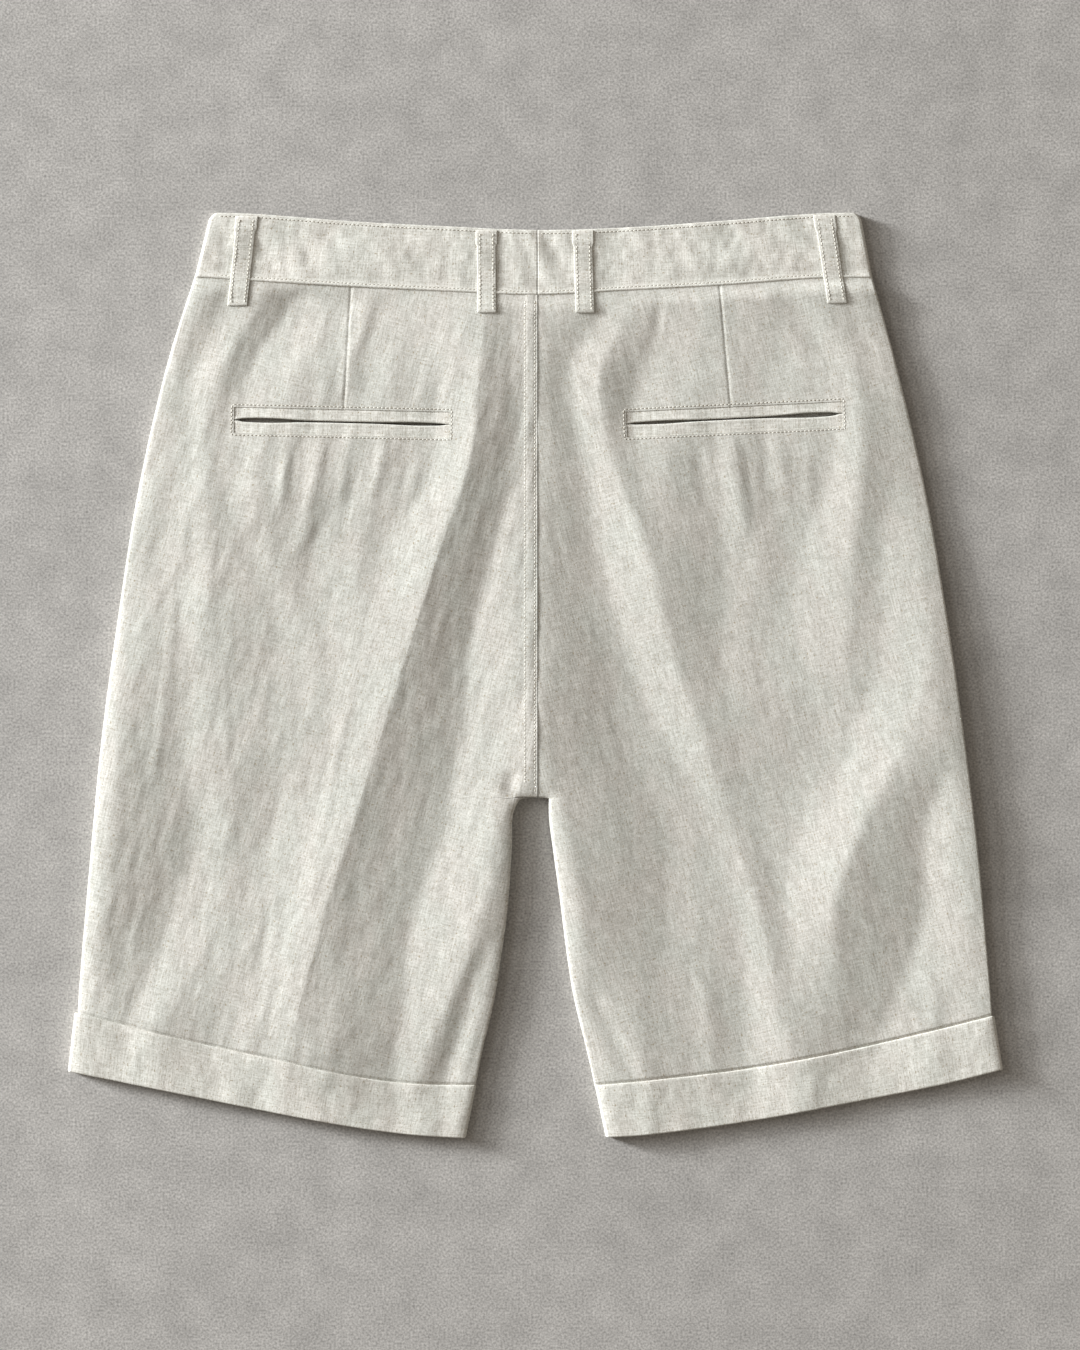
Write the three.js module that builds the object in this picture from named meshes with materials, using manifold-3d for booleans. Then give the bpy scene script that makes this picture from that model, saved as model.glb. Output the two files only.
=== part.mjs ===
import * as THREE from 'three';
import { mergeVertices } from 'three/addons/utils/BufferGeometryUtils.js';
import Module from 'manifold-3d';

const wasm = await Module();
wasm.setup();

// Linen bermuda shorts laid flat with the back upwards.
// Millimetres, +X to the right, +Y towards the waist, +Z up, fronts resting on z = 0.

// Cloth thickness, and the gap kept between sewn pieces
const FRONT_WALL = 1.6;
const BACK_WALL = 1.3;
const BAND_WALL = 1.9;
const CUFF_WALL = 1.7;
const LOOP_WALL = 1.5;
const WELT_WALL = 1.4;
const SEAM_GAP = 0.3;

// Heights of the back's upper face
const LOWEST_BACK = FRONT_WALL + SEAM_GAP + BACK_WALL;
const MIDDLE_BACK = 5.2;
const HIGHEST_BACK = 8.4;
const WALL_GAIN_AT_FOLDS = 0.32;
const THICKEST_WALL = 3;
const SIDE_ROUNDING = 12;
const SEAM_FADE = 22;
const CUFF_FADE = 26;

// Centre seams
const BACK_SEAM_X = 1.3;
const FRONT_SEAM_X = 0;
const CROTCH_Y = -79.3;
const FELL_WIDTH = 8.8;
const FELL_RISE = 0.4;

// Waistband and cuffs
const BAND_TOP_Z = 5.4;
const BAND_SIDE_DROP = 0.5;
const FRONT_WAIST_DIP = 12;
const CUFF_TOP_Z = 5.6;
const CUFF_FOLD_SHARE = 0.35;
const SIDE_TURN = 3;

// Belt loops and pockets
const LOOP_SLACK = 1.1;
const LOOP_CLEARANCE = 0.45;
const WELT_SINK = 0.35;
const SLIT_HEIGHT = 1.8;
const LOWEST_WELT = FRONT_WALL + SEAM_GAP + WELT_WALL;

// Colours
const CLOTH_COLOUR = 0xd6d2c8;
const TRIM_COLOUR = 0xdad6cc;

// Waistband edges, a row for each place along the waist
const WAIST = [
  { x: -221, top: 301.0, seam: 259.0 },
  { x: -185, top: 300.2, seam: 256.4 },
  { x: -120, top: 295.3, seam: 252.5 },
  { x: -60, top: 292.1, seam: 249.6 },
  { x: 1, top: 289.6, seam: 247.3 },
  { x: 60, top: 291.3, seam: 250.2 },
  { x: 120, top: 295.4, seam: 253.4 },
  { x: 185, top: 300.4, seam: 258.1 },
  { x: 221, top: 300.6, seam: 258.5 },
];

// Leg edges: x of the back and of the front at each height
const OUTER_EDGE = {
  left: [
    { y: 260, back: -221.3, front: -221.3 },
    { y: 200, back: -240.0, front: -240.2 },
    { y: 120, back: -258.2, front: -258.4 },
    { y: 40, back: -270.9, front: -271.1 },
    { y: -40, back: -281.8, front: -282.0 },
    { y: -120, back: -289.4, front: -290.6 },
    { y: -200, back: -296.2, front: -298.0 },
    { y: -222, back: -297.4, front: -299.2 },
  ],
  right: [
    { y: 260, back: 218.8, front: 218.8 },
    { y: 200, back: 235.2, front: 235.2 },
    { y: 120, back: 253.8, front: 253.6 },
    { y: 40, back: 267.5, front: 267.3 },
    { y: -40, back: 278.8, front: 278.6 },
    { y: -120, back: 288.3, front: 288.1 },
    { y: -200, back: 295.4, front: 295.2 },
    { y: -222, back: 297.0, front: 296.8 },
  ],
};

const INNER_EDGE = {
  left: [
    { y: -79, back: -9.4, front: -9.4 },
    { y: -90, back: -14.6, front: -12.4 },
    { y: -113, back: -15.4, front: -15.2 },
    { y: -152, back: -18.2, front: -17.9 },
    { y: -182, back: -22.2, front: -21.8 },
    { y: -211, back: -26.8, front: -26.3 },
    { y: -242, back: -34.0, front: -33.5 },
    { y: -268, back: -39.2, front: -38.8 },
  ],
  right: [
    { y: -79, back: 8.4, front: 8.1 },
    { y: -94, back: 8.9, front: 7.5 },
    { y: -113, back: 11.4, front: 10.1 },
    { y: -152, back: 16.8, front: 15.9 },
    { y: -182, back: 20.6, front: 19.8 },
    { y: -211, back: 25.4, front: 25.0 },
    { y: -242, back: 33.1, front: 32.8 },
    { y: -268, back: 38.9, front: 38.6 },
  ],
};

// Cuff edges, a row for each place across the leg
const CUFF = {
  left: [
    { x: -304, top: -217.4, hem: -257.2 },
    { x: -227, top: -236.9, hem: -272.7 },
    { x: -172, top: -248.6, hem: -283.7 },
    { x: -119, top: -260.2, hem: -293.4 },
    { x: -80, top: -265.3, hem: -298.6 },
    { x: -38, top: -266.4, hem: -301.2 },
  ],
  right: [
    { x: 38, top: -266.4, hem: -300.6 },
    { x: 73, top: -263.2, hem: -298.5 },
    { x: 138, top: -255.6, hem: -289.9 },
    { x: 206, top: -243.2, hem: -277.5 },
    { x: 264, top: -229.6, hem: -266.0 },
    { x: 304, top: -219.2, hem: -256.0 },
  ],
};

// Cuff ends: x at the top edge and at the hem
const CUFF_ENDS = {
  left: { outerTop: -299.6, outerHem: -304.0, innerTop: -38.4, innerHem: -45.4 },
  right: { outerTop: 298.4, outerHem: 304.0, innerTop: 38.5, innerHem: 45.6 },
};

// Waistband ends: x of the side at the top edge and at the seam
const BAND_SIDE = {
  left: { top: -211.4, seam: -221.6 },
  right: { top: 211.2, seam: 219.2 },
};

// Crest and valley lines of the folds, from left to right: x and rise at each level.
// A pressed line is a crease: the cloth runs straighter into it.
const LEVELS = [240, 195, 140, 80, 20, -40, -100, -160, -235];
const FOLD_LINES = {
  left: [
    {
      name: 'outer edge',
      x: [-215, -235, -246, -254, -261, -267, -276, -284, -292],
      rise: [0.3, 0.1, -0.3, -0.3, 0.2, 0.6, 0.6, 0.1, -0.6],
    },
    {
      name: 'trough beside the edge',
      x: [-203, -223, -232, -240, -231, -229, -240, -250, -268],
      rise: [-0.8, -1.2, -1.1, -0.9, -0.7, -1.1, -1.8, -2.1, -2.3],
    },
    {
      name: 'fold from the side loop',
      x: [-187, -207, -218, -220, -207, -202, -208, -218, -246],
      rise: [0.6, 0.5, 0, -0.1, 0.1, -0.4, -1.3, -1.5, -0.8],
    },
    {
      name: 'trough at the pocket end',
      x: [-156, -186, -203, -202, -190, -186, -193, -203, -228],
      rise: [-1.5, -1.3, -0.8, -0.6, -0.8, -1.2, -1.5, -1.6, -1.5],
    },
    {
      name: 'trough under the pocket',
      x: [-98, -112, -122, -147, -163, -165, -174, -182, -200],
      rise: [-0.6, -0.4, -0.5, -1.3, -1.7, -1.7, -1.5, -1.1, -0.9],
    },
    {
      name: 'crease',
      x: [-33, -38, -45, -64, -84, -104, -122, -139, -159],
      rise: [1.8, 2.9, 2.7, 2.8, 2.2, 2.2, 2.5, 2.5, 2.2],
      pressed: 0.8,
    },
    {
      name: 'trough beside the crease',
      x: [-14, -14, -15, -26, -38, -50, -64, -79, -90],
      rise: [1.0, 0.7, 0, -0.1, -1.0, -1.1, -1.0, -1.0, -0.6],
    },
    {
      name: 'inner leg',
      x: [-3, -3, -3, -5, -5, -9, -25, -38, -58],
      rise: [1.3, 1.3, 0.4, 1.1, 1.9, 2.4, 2.9, 3.0, 1.5],
    },
  ],
  right: [
    {
      name: 'inner leg',
      x: [6, 5, 6, 8, 8, 8, 19, 31, 60],
      rise: [1.0, 0.6, 0.4, 0.8, 1.8, 2.4, 2.8, 2.5, -0.4],
    },
    {
      name: 'trough beside the crease',
      x: [22, 23, 31, 42, 54, 72, 92, 88, 88],
      rise: [0.1, -1.4, -1.6, -1.7, -2.0, -1.9, -2.0, -2.1, -2.4],
    },
    {
      name: 'crease',
      x: [64, 42, 50, 74, 88, 106, 128, 147, 166],
      rise: [0.6, 0.8, 0.5, 1.4, 1.0, 0.1, -1.0, -0.5, 1.8],
      pressed: 0.5,
    },
    {
      name: 'foot of the crease',
      x: [85, 68, 65, 86, 100, 118, 140, 155, 172],
      rise: [-0.4, -1.1, -0.6, 0.8, 0.3, -0.4, -1.5, -1.1, 1.7],
    },
    {
      name: 'trough under the pocket',
      x: [108, 102, 112, 123, 132, 146, 159, 164, 177],
      rise: [-0.2, -0.6, -0.9, -1.3, -1.4, -1.7, -2.3, -1.5, 1.6],
    },
    {
      name: 'fold from the side loop',
      x: [190, 207, 213, 207, 204, 178, 175, 178, 187],
      rise: [0.4, 1.1, 1.3, 0.8, 0.4, -2.0, -2.1, -0.6, 1.5],
    },
    {
      name: 'foot of the side fold',
      x: [204, 220, 234, 226, 223, 190, 183, 186, 192],
      rise: [0, 0.4, 0.4, 0, 0.1, -2.1, -1.5, 0.1, 1.5],
    },
    {
      name: 'fold across the lower leg',
      x: [214, 230, 242, 249, 260, 252, 214, 198, 196],
      rise: [0.4, 0.8, 0.8, 1.3, 2.1, 2.1, 0.8, 1.2, 1.3],
    },
    {
      name: 'trough of the lower leg',
      x: [218, 233, 246, 255, 266, 266, 250, 246, 218],
      rise: [0.4, 0.8, 0.8, 1.3, 2.0, 0.4, -1.8, -2.0, -1.0],
    },
    {
      name: 'outer edge',
      x: [222, 236, 250, 260, 271, 278, 277, 284, 291],
      rise: [0.3, 0.6, 0.6, 1.0, 1.9, 1.1, 0.8, 1.7, 2.4],
    },
  ],
};
const FOLD_ROUNDNESS = 0.75;
const CLOSEST_LINES = 3;
const LOWEST_LEVEL = -262;

// Belt loops: middle of the top and bottom ends, width at each end
const LOOPS = [
  { name: 'loop_side_left', topX: -187.5, topY: 298.4, bottomX: -193.8, bottomY: 240.2, width: 12.8 },
  { name: 'loop_back_left', topX: -31.9, topY: 289.2, bottomX: -31.6, bottomY: 235.4, width: 12.2 },
  { name: 'loop_back_right', topX: 30.6, topY: 289.2, bottomX: 32.2, bottomY: 235.4, width: 12.2 },
  { name: 'loop_side_right', topX: 187.5, topY: 299.2, bottomX: 196.0, bottomY: 241.5, width: 12.6 },
];

// Welt pockets: ends of the slit, height of the welts above and below it
const POCKETS = [
  { side: 'left', x0: -196.0, y0: 166.1, x1: -56.0, y1: 162.8, above: 8.4, below: 8.4 },
  { side: 'right', x0: 59.0, y0: 163.4, x1: 199.2, y1: 170.1, above: 8.0, below: 8.6 },
];

// Grid steps
const PANEL_ROWS = 35;
const EDGE_COLUMNS = [0, 2, 5, 11];
const FELL_COLUMNS = [FELL_WIDTH + 0.9, FELL_WIDTH, FELL_WIDTH / 2, 0];
const OUTER_COLUMNS = 16;
const INNER_COLUMNS = 9;
const FRONT_ROWS = 18;
const FRONT_COLUMNS = 6;
const TURN_ANGLES = [60, 30, 0, -30, -60];

function mix(a, b, t) {
  return a + (b - a) * t;
}

function clamp01(t) {
  return Math.min(1, Math.max(0, t));
}

function ease(t) {
  const s = clamp01(t);
  return s * s * (3 - 2 * s);
}

// Smooth curve through a table's rows, read at one value of its first column
function readTable(rows, along, column, at) {
  const sorted = [...rows].sort((a, b) => a[along] - b[along]);
  let i = sorted.findIndex((row) => row[along] > at) - 1;
  if (i < 0) i = at < sorted[0][along] ? 0 : sorted.length - 2;
  const slope = (j) => {
    const a = sorted[Math.max(0, j - 1)];
    const b = sorted[Math.min(sorted.length - 1, j + 1)];
    return (b[column] - a[column]) / (b[along] - a[along]);
  };
  const p = sorted[i];
  const q = sorted[i + 1];
  const span = q[along] - p[along];
  const t = (at - p[along]) / span;
  if (t < 0) return p[column] + slope(i) * (at - p[along]);
  if (t > 1) return q[column] + slope(i + 1) * (at - q[along]);
  const rise = q[column] - p[column];
  const bendP = slope(i) * span - rise;
  const bendQ = rise - slope(i + 1) * span;
  return p[column] + rise * t + t * (1 - t) * (bendP * (1 - t) + bendQ * t);
}

// One column of a fold line at a height
function lineAt(line, column, y) {
  const rows = LEVELS.map((level, i) => ({ y: level, value: line[column][i] }));
  return readTable(rows, 'y', 'value', Math.max(y, LOWEST_LEVEL));
}

function creaseX(side, y) {
  return lineAt(FOLD_LINES[side].find((line) => line.pressed), 'x', y);
}

// Share of the way from one line's rise to the next one's
function foldBlend(t, pressedA, pressedB) {
  const ends = pressedA * t * (1 - t) ** 2 + pressedB * t * t * (t - 1);
  return mix(t, ease(t) + ends, FOLD_ROUNDNESS);
}

// Rise of the folds at a point, blended from one line to the next
function foldRelief(side, x, y) {
  let before = null;
  for (const line of FOLD_LINES[side]) {
    const at = lineAt(line, 'x', y);
    const lineX = before ? Math.max(at, before.x + CLOSEST_LINES) : at;
    const here = { x: lineX, rise: lineAt(line, 'rise', y), pressed: line.pressed ?? 0 };
    if (x < here.x) {
      if (!before) return here.rise;
      const t = (x - before.x) / (here.x - before.x);
      return mix(before.rise, here.rise, foldBlend(t, before.pressed, here.pressed));
    }
    before = here;
  }
  return before.rise;
}

function seamY(x) {
  return readTable(WAIST, 'x', 'seam', x);
}

function cuffTopY(side, x) {
  return readTable(CUFF[side], 'x', 'top', x);
}

// Folds soften near the waist seam and the cuff
function calmedRelief(side, x, y) {
  const nearWaist = ease((seamY(x) - y) / SEAM_FADE);
  const nearCuff = 0.5 + 0.5 * ease((y - cuffTopY(side, x)) / CUFF_FADE);
  return foldRelief(side, x, y) * nearWaist * nearCuff;
}

function roundOff(distance) {
  const d = 1 - clamp01(distance / SIDE_ROUNDING);
  return Math.sqrt(1 - d * d);
}

// Distance from the leg's inner edge, or from the crotch's lower edge above it
function insideDistance(side, x, y) {
  if (y < CROTCH_Y) return Math.abs(x - readTable(INNER_EDGE[side], 'y', 'back', y));
  const corner = INNER_EDGE[side][0].back;
  return Math.hypot(Math.max(0, Math.abs(x) - Math.abs(corner)), y - CROTCH_Y);
}

// Height of the back panel's upper face
function backTopZ(side, x, y) {
  const span = HIGHEST_BACK - LOWEST_BACK;
  const share = clamp01((MIDDLE_BACK + calmedRelief(side, x, y) - LOWEST_BACK) / span);
  let z = span * (0.5 * share + 0.5 * ease(share));
  z *= roundOff(Math.abs(x - readTable(OUTER_EDGE[side], 'y', 'back', y)));
  z *= roundOff(insideDistance(side, x, y));
  return LOWEST_BACK + z;
}

function bandTopZ(x) {
  return BAND_TOP_Z - BAND_SIDE_DROP * (x / 210) ** 2;
}

function cuffTopZ(side, x, y) {
  return CUFF_TOP_Z + CUFF_FOLD_SHARE * THREE.MathUtils.clamp(foldRelief(side, x, y), -2.4, 2.4);
}

// Turns a closed surface's faces outwards and gives it as a geometry
function solidFrom(points, triangles) {
  let volume = 0;
  for (const [a, b, c] of triangles) {
    volume += points[a].dot(new THREE.Vector3().crossVectors(points[b], points[c]));
  }
  const faces = volume > 0 ? triangles : triangles.map(([a, b, c]) => [a, c, b]);
  const geometry = new THREE.BufferGeometry().setFromPoints(points);
  geometry.setIndex(faces.flat());
  return geometry;
}

// A wall between an upper and an under grid of points, closed round its rim
function wallFromGrids(upper, under) {
  const rows = upper.length;
  const columns = upper[0].length;
  const points = [...upper.flat(), ...under.flat()];
  const top = (r, c) => r * columns + c;
  const low = (r, c) => rows * columns + r * columns + c;
  const triangles = [];
  for (let r = 0; r < rows - 1; r++) {
    for (let c = 0; c < columns - 1; c++) {
      triangles.push([top(r, c), top(r + 1, c), top(r, c + 1)]);
      triangles.push([top(r, c + 1), top(r + 1, c), top(r + 1, c + 1)]);
      triangles.push([low(r, c), low(r, c + 1), low(r + 1, c)]);
      triangles.push([low(r, c + 1), low(r + 1, c + 1), low(r + 1, c)]);
    }
  }
  for (let r = 0; r < rows - 1; r++) {
    triangles.push([top(r, 0), low(r, 0), top(r + 1, 0)]);
    triangles.push([low(r, 0), low(r + 1, 0), top(r + 1, 0)]);
    const c = columns - 1;
    triangles.push([top(r, c), top(r + 1, c), low(r, c)]);
    triangles.push([low(r, c), top(r + 1, c), low(r + 1, c)]);
  }
  for (let c = 0; c < columns - 1; c++) {
    triangles.push([top(0, c), top(0, c + 1), low(0, c)]);
    triangles.push([low(0, c), top(0, c + 1), low(0, c + 1)]);
    const r = rows - 1;
    triangles.push([top(r, c), low(r, c), top(r, c + 1)]);
    triangles.push([low(r, c), low(r, c + 1), top(r, c + 1)]);
  }
  return solidFrom(points, triangles);
}

// A closed section carried along stations, joined end to end or capped
function sweepSections(stations, closed) {
  const count = stations.length;
  const size = stations[0].length;
  const triangles = [];
  const spans = closed ? count : count - 1;
  for (let i = 0; i < spans; i++) {
    const next = (i + 1) % count;
    for (let j = 0; j < size; j++) {
      const a = i * size + j;
      const b = i * size + ((j + 1) % size);
      const c = next * size + j;
      const d = next * size + ((j + 1) % size);
      triangles.push([a, b, c], [b, d, c]);
    }
  }
  if (!closed) {
    const end = (count - 1) * size;
    for (let j = 0; j < size / 2 - 1; j++) {
      const k = size - 1 - j;
      triangles.push([j, k, j + 1], [j + 1, k, k - 1]);
      triangles.push([end + j, end + j + 1, end + k], [end + j + 1, end + k - 1, end + k]);
    }
  }
  return solidFrom(stations.flat(), triangles);
}

// Rows of a panel run down the leg, with one exactly at the crotch
function rowShares(rows, crotchShare) {
  const shares = [];
  const above = Math.round(rows * crotchShare);
  for (let r = 0; r <= above; r++) shares.push((crotchShare * r) / above);
  shares.push(crotchShare + 0.007);
  for (let r = 1; r <= rows - above; r++) {
    shares.push(mix(crotchShare, 1, r / (rows - above)));
  }
  return shares;
}

// Where the centre seam ends, as a share of the way down the inner edge
const CROTCH_SHARE = 0.636;

// Inner boundary: down the centre seam, across the crotch, then down the leg
function innerPoint(side, layer, seamX, topY, share) {
  if (share <= CROTCH_SHARE) return [seamX, mix(topY, CROTCH_Y, share / CROTCH_SHARE)];
  const lowX = CUFF_ENDS[side].innerTop;
  const lowY = cuffTopY(side, lowX) + SEAM_GAP;
  const y = mix(CROTCH_Y, lowY, (share - CROTCH_SHARE) / (1 - CROTCH_SHARE));
  return [readTable(INNER_EDGE[side], 'y', layer, y), y];
}

function outerPoint(side, layer, topX, share) {
  const lowX = readTable(OUTER_EDGE[side], 'y', layer, -218);
  const y = mix(seamY(topX) - SEAM_GAP, cuffTopY(side, lowX) + SEAM_GAP, share);
  return [readTable(OUTER_EDGE[side], 'y', layer, y), y];
}

// Keeps the end rows on the curved seams, and the rows between in step
function followSeams(ends, x, share, topLine, lowLine) {
  const [a, b, a0, b0, a1, b1] = ends;
  const t = (x - a[0]) / (b[0] - a[0]);
  const x0 = mix(a0[0], b0[0], t);
  const x1 = mix(a1[0], b1[0], t);
  const topBend = topLine(x0) - mix(a0[1], b0[1], t);
  const lowBend = lowLine(x1) - mix(a1[1], b1[1], t);
  return mix(a[1], b[1], t) + (1 - share) * topBend + share * lowBend;
}

function backPanel(side) {
  const sign = side === 'left' ? -1 : 1;
  const seamX = BACK_SEAM_X + (sign * SEAM_GAP) / 2;
  const topLine = (x) => seamY(x) - SEAM_GAP;
  const lowLine = (x) => cuffTopY(side, x) + SEAM_GAP;
  const outer = (v) => outerPoint(side, 'back', BAND_SIDE[side].seam, v);
  const inner = (v) => innerPoint(side, 'back', seamX, topLine(seamX), v);
  const creaseTop = topLine(creaseX(side, LEVELS[0]));
  const creaseLow = lowLine(creaseX(side, LEVELS[LEVELS.length - 1]));
  const crease = (v) => {
    const y = mix(creaseTop, creaseLow, v);
    return [creaseX(side, y), y];
  };
  const upper = [];
  const under = [];
  for (const v of rowShares(PANEL_ROWS, CROTCH_SHARE)) {
    const o = outer(v);
    const c = crease(v);
    const i = inner(v);
    const outerX = EDGE_COLUMNS.map((d) => o[0] - sign * d);
    for (let k = 1; k <= OUTER_COLUMNS; k++) {
      outerX.push(mix(o[0] - sign * EDGE_COLUMNS[3], c[0], k / OUTER_COLUMNS));
    }
    const innerX = [];
    for (let k = 1; k < INNER_COLUMNS; k++) {
      innerX.push(mix(c[0], i[0] + sign * FELL_COLUMNS[0], k / INNER_COLUMNS));
    }
    FELL_COLUMNS.forEach((d) => innerX.push(i[0] + sign * d));
    const outerEnds = [o, c, outer(0), crease(0), outer(1), crease(1)];
    const innerEnds = [c, i, crease(0), inner(0), crease(1), inner(1)];
    const places = outerX.map((x) => [x, followSeams(outerEnds, x, v, topLine, lowLine)]);
    innerX.forEach((x) => places.push([x, followSeams(innerEnds, x, v, topLine, lowLine)]));
    const upperRow = [];
    const underRow = [];
    places.forEach(([x, y], k) => {
      const onFell = side === 'left' && k >= places.length - 3 && v <= CROTCH_SHARE;
      const z = backTopZ(side, x, y) + (onFell ? FELL_RISE : 0);
      const wall = Math.min(THICKEST_WALL, BACK_WALL + WALL_GAIN_AT_FOLDS * (z - LOWEST_BACK));
      upperRow.push(new THREE.Vector3(x, y, z));
      underRow.push(new THREE.Vector3(x, y, z - wall));
    });
    upper.push(upperRow);
    under.push(underRow);
  }
  return wallFromGrids(upper, under);
}

// How far the front waist lies below the back waist
function waistDip(x) {
  return FRONT_WAIST_DIP * (1 - clamp01((x / 205) ** 2));
}

function frontPanel(side) {
  const sign = side === 'left' ? -1 : 1;
  const seamX = FRONT_SEAM_X + (sign * SEAM_GAP) / 2;
  const topLine = (x) => seamY(x) - waistDip(x) - SEAM_GAP;
  const lowLine = (x) => cuffTopY(side, x) + SEAM_GAP;
  const outer = (v) => outerPoint(side, 'front', BAND_SIDE[side].seam, v);
  const inner = (v) => innerPoint(side, 'front', seamX, topLine(seamX), v);
  const upper = [];
  const under = [];
  for (const v of rowShares(FRONT_ROWS, CROTCH_SHARE)) {
    const ends = [outer(v), inner(v), outer(0), inner(0), outer(1), inner(1)];
    const upperRow = [];
    const underRow = [];
    for (let k = 0; k <= FRONT_COLUMNS; k++) {
      const x = mix(ends[0][0], ends[1][0], k / FRONT_COLUMNS);
      const y = followSeams(ends, x, v, topLine, lowLine);
      upperRow.push(new THREE.Vector3(x, y, FRONT_WALL));
      underRow.push(new THREE.Vector3(x, y, 0));
    }
    upper.push(upperRow);
    under.push(underRow);
  }
  return wallFromGrids(upper, under);
}

// Section round a wall: share of the way down, and depth from outer to inner face
const BAND_SECTION = [
  { down: 0.035, depth: 0 },
  { down: 0.35, depth: 0 },
  { down: 0.7, depth: 0 },
  { down: 1, depth: 0 },
  { down: 1, depth: 1 },
  { down: 0.5, depth: 1 },
  { down: 0.035, depth: 1 },
  { down: 0, depth: 0.5 },
];

const CUFF_SECTION = [
  { down: 0, depth: 0 },
  { down: 0.32, depth: 0 },
  { down: 0.66, depth: 0 },
  { down: 0.96, depth: 0 },
  { down: 1, depth: 0.5 },
  { down: 0.96, depth: 1 },
  { down: 0.5, depth: 1 },
  { down: 0, depth: 1 },
];

// A point of a wall that lies flat: on top of the garment, or under it
function flatWallPoint([x, y], outerZ, wall, depth) {
  const towardsInside = outerZ > 0 ? -1 : 1;
  return new THREE.Vector3(x, y, outerZ + towardsInside * wall * depth);
}

// A point of a wall that turns round the side of the garment
function turnPoint([x, y], sign, topZ, wall, angle, depth) {
  const a = THREE.MathUtils.degToRad(angle);
  const across = SIDE_TURN - wall * depth;
  const high = topZ / 2 - wall * depth;
  return new THREE.Vector3(x + sign * across * Math.cos(a), y, topZ / 2 + high * Math.sin(a));
}

// One half of the waistband: from the centre back round the side to the centre front
function waistband(side) {
  const sign = side === 'left' ? -1 : 1;
  const ends = BAND_SIDE[side];
  const place = (seamX, along, down, dip) => {
    const sideX = mix(ends.top, ends.seam, down) - sign * SIDE_TURN;
    const x = mix(seamX, sideX, along);
    const top = readTable(WAIST, 'x', 'top', x);
    return [x, mix(top, seamY(x), down) - (dip ? waistDip(x) : 0)];
  };
  const backX = BACK_SEAM_X + (sign * SEAM_GAP) / 2;
  const frontX = FRONT_SEAM_X + (sign * SEAM_GAP) / 2;
  const stations = [];
  for (let k = 0; k <= 14; k++) {
    stations.push(BAND_SECTION.map(({ down, depth }) => {
      const at = place(backX, k / 14, down, false);
      return flatWallPoint(at, bandTopZ(at[0]), BAND_WALL, depth);
    }));
  }
  for (const angle of TURN_ANGLES) {
    stations.push(BAND_SECTION.map(({ down, depth }) => {
      const at = place(backX, 1, down, false);
      return turnPoint(at, sign, bandTopZ(at[0]), BAND_WALL, angle, depth);
    }));
  }
  for (let k = 8; k >= 0; k--) {
    stations.push(BAND_SECTION.map(({ down, depth }) => {
      return flatWallPoint(place(frontX, k / 8, down, true), 0, BAND_WALL, depth);
    }));
  }
  return sweepSections(stations, false);
}

// A turned-up cuff: a flattened ring round the leg's end, rounded at the hem
function cuff(side) {
  const sign = side === 'left' ? -1 : 1;
  const ends = CUFF_ENDS[side];
  const place = (across, down) => {
    const outerX = mix(ends.outerTop, ends.outerHem, down) - sign * SIDE_TURN;
    const innerX = mix(ends.innerTop, ends.innerHem, down) + sign * SIDE_TURN;
    const x = mix(outerX, innerX, across);
    const hem = readTable(CUFF[side], 'x', 'hem', x);
    return [x, mix(cuffTopY(side, x), hem, down)];
  };
  const turned = (across, outward, angle) => CUFF_SECTION.map(({ down, depth }) => {
    const at = place(across, down);
    return turnPoint(at, outward, cuffTopZ(side, ...at), CUFF_WALL, angle, depth);
  });
  const stations = [];
  for (let k = 0; k <= 24; k++) {
    stations.push(CUFF_SECTION.map(({ down, depth }) => {
      const at = place(k / 24, down);
      return flatWallPoint(at, cuffTopZ(side, ...at), CUFF_WALL, depth);
    }));
  }
  TURN_ANGLES.forEach((angle) => stations.push(turned(1, -sign, angle)));
  for (let k = 10; k >= 0; k--) {
    stations.push(CUFF_SECTION.map(({ down, depth }) => {
      return flatWallPoint(place(k / 10, down), 0, CUFF_WALL, depth);
    }));
  }
  [...TURN_ANGLES].reverse().forEach((angle) => stations.push(turned(0, sign, angle)));
  return sweepSections(stations, true);
}

// A belt loop: sewn down at both ends, slack over the waistband
function beltLoop(loop) {
  const side = loop.topX < 0 ? 'left' : 'right';
  const upper = [];
  const under = [];
  for (const t of [0, 0.06, 0.2, 0.4, 0.6, 0.72, 0.8, 0.9, 1]) {
    const y = mix(loop.topY, loop.bottomY, t);
    const middle = mix(loop.topX, loop.bottomX, t);
    const onBand = ease((y - seamY(middle) + 7) / 6);
    const lift = SEAM_GAP + LOOP_SLACK * Math.sin(Math.PI * t) ** 2;
    const across = [-0.5, 0, 0.5].map((share) => middle + share * loop.width);
    const panelZ = Math.max(...across.map((x) => backTopZ(side, x, y))) + LOOP_CLEARANCE;
    const z = lift + mix(panelZ, bandTopZ(middle) + 0.05, onBand);
    const upperRow = [];
    const underRow = [];
    for (const x of across) {
      upperRow.push(new THREE.Vector3(x, y, z + LOOP_WALL));
      underRow.push(new THREE.Vector3(x, y, z));
    }
    upper.push(upperRow);
    under.push(underRow);
  }
  return wallFromGrids(upper, under);
}

// Point beside a pocket's slit: share along it, distance above it
function besideSlit(pocket, along, above) {
  const dx = pocket.x1 - pocket.x0;
  const dy = pocket.y1 - pocket.y0;
  const length = Math.hypot(dx, dy);
  const x = mix(pocket.x0, pocket.x1, along) - (dy / length) * above;
  const y = mix(pocket.y0, pocket.y1, along) + (dx / length) * above;
  return [x, y];
}

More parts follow.
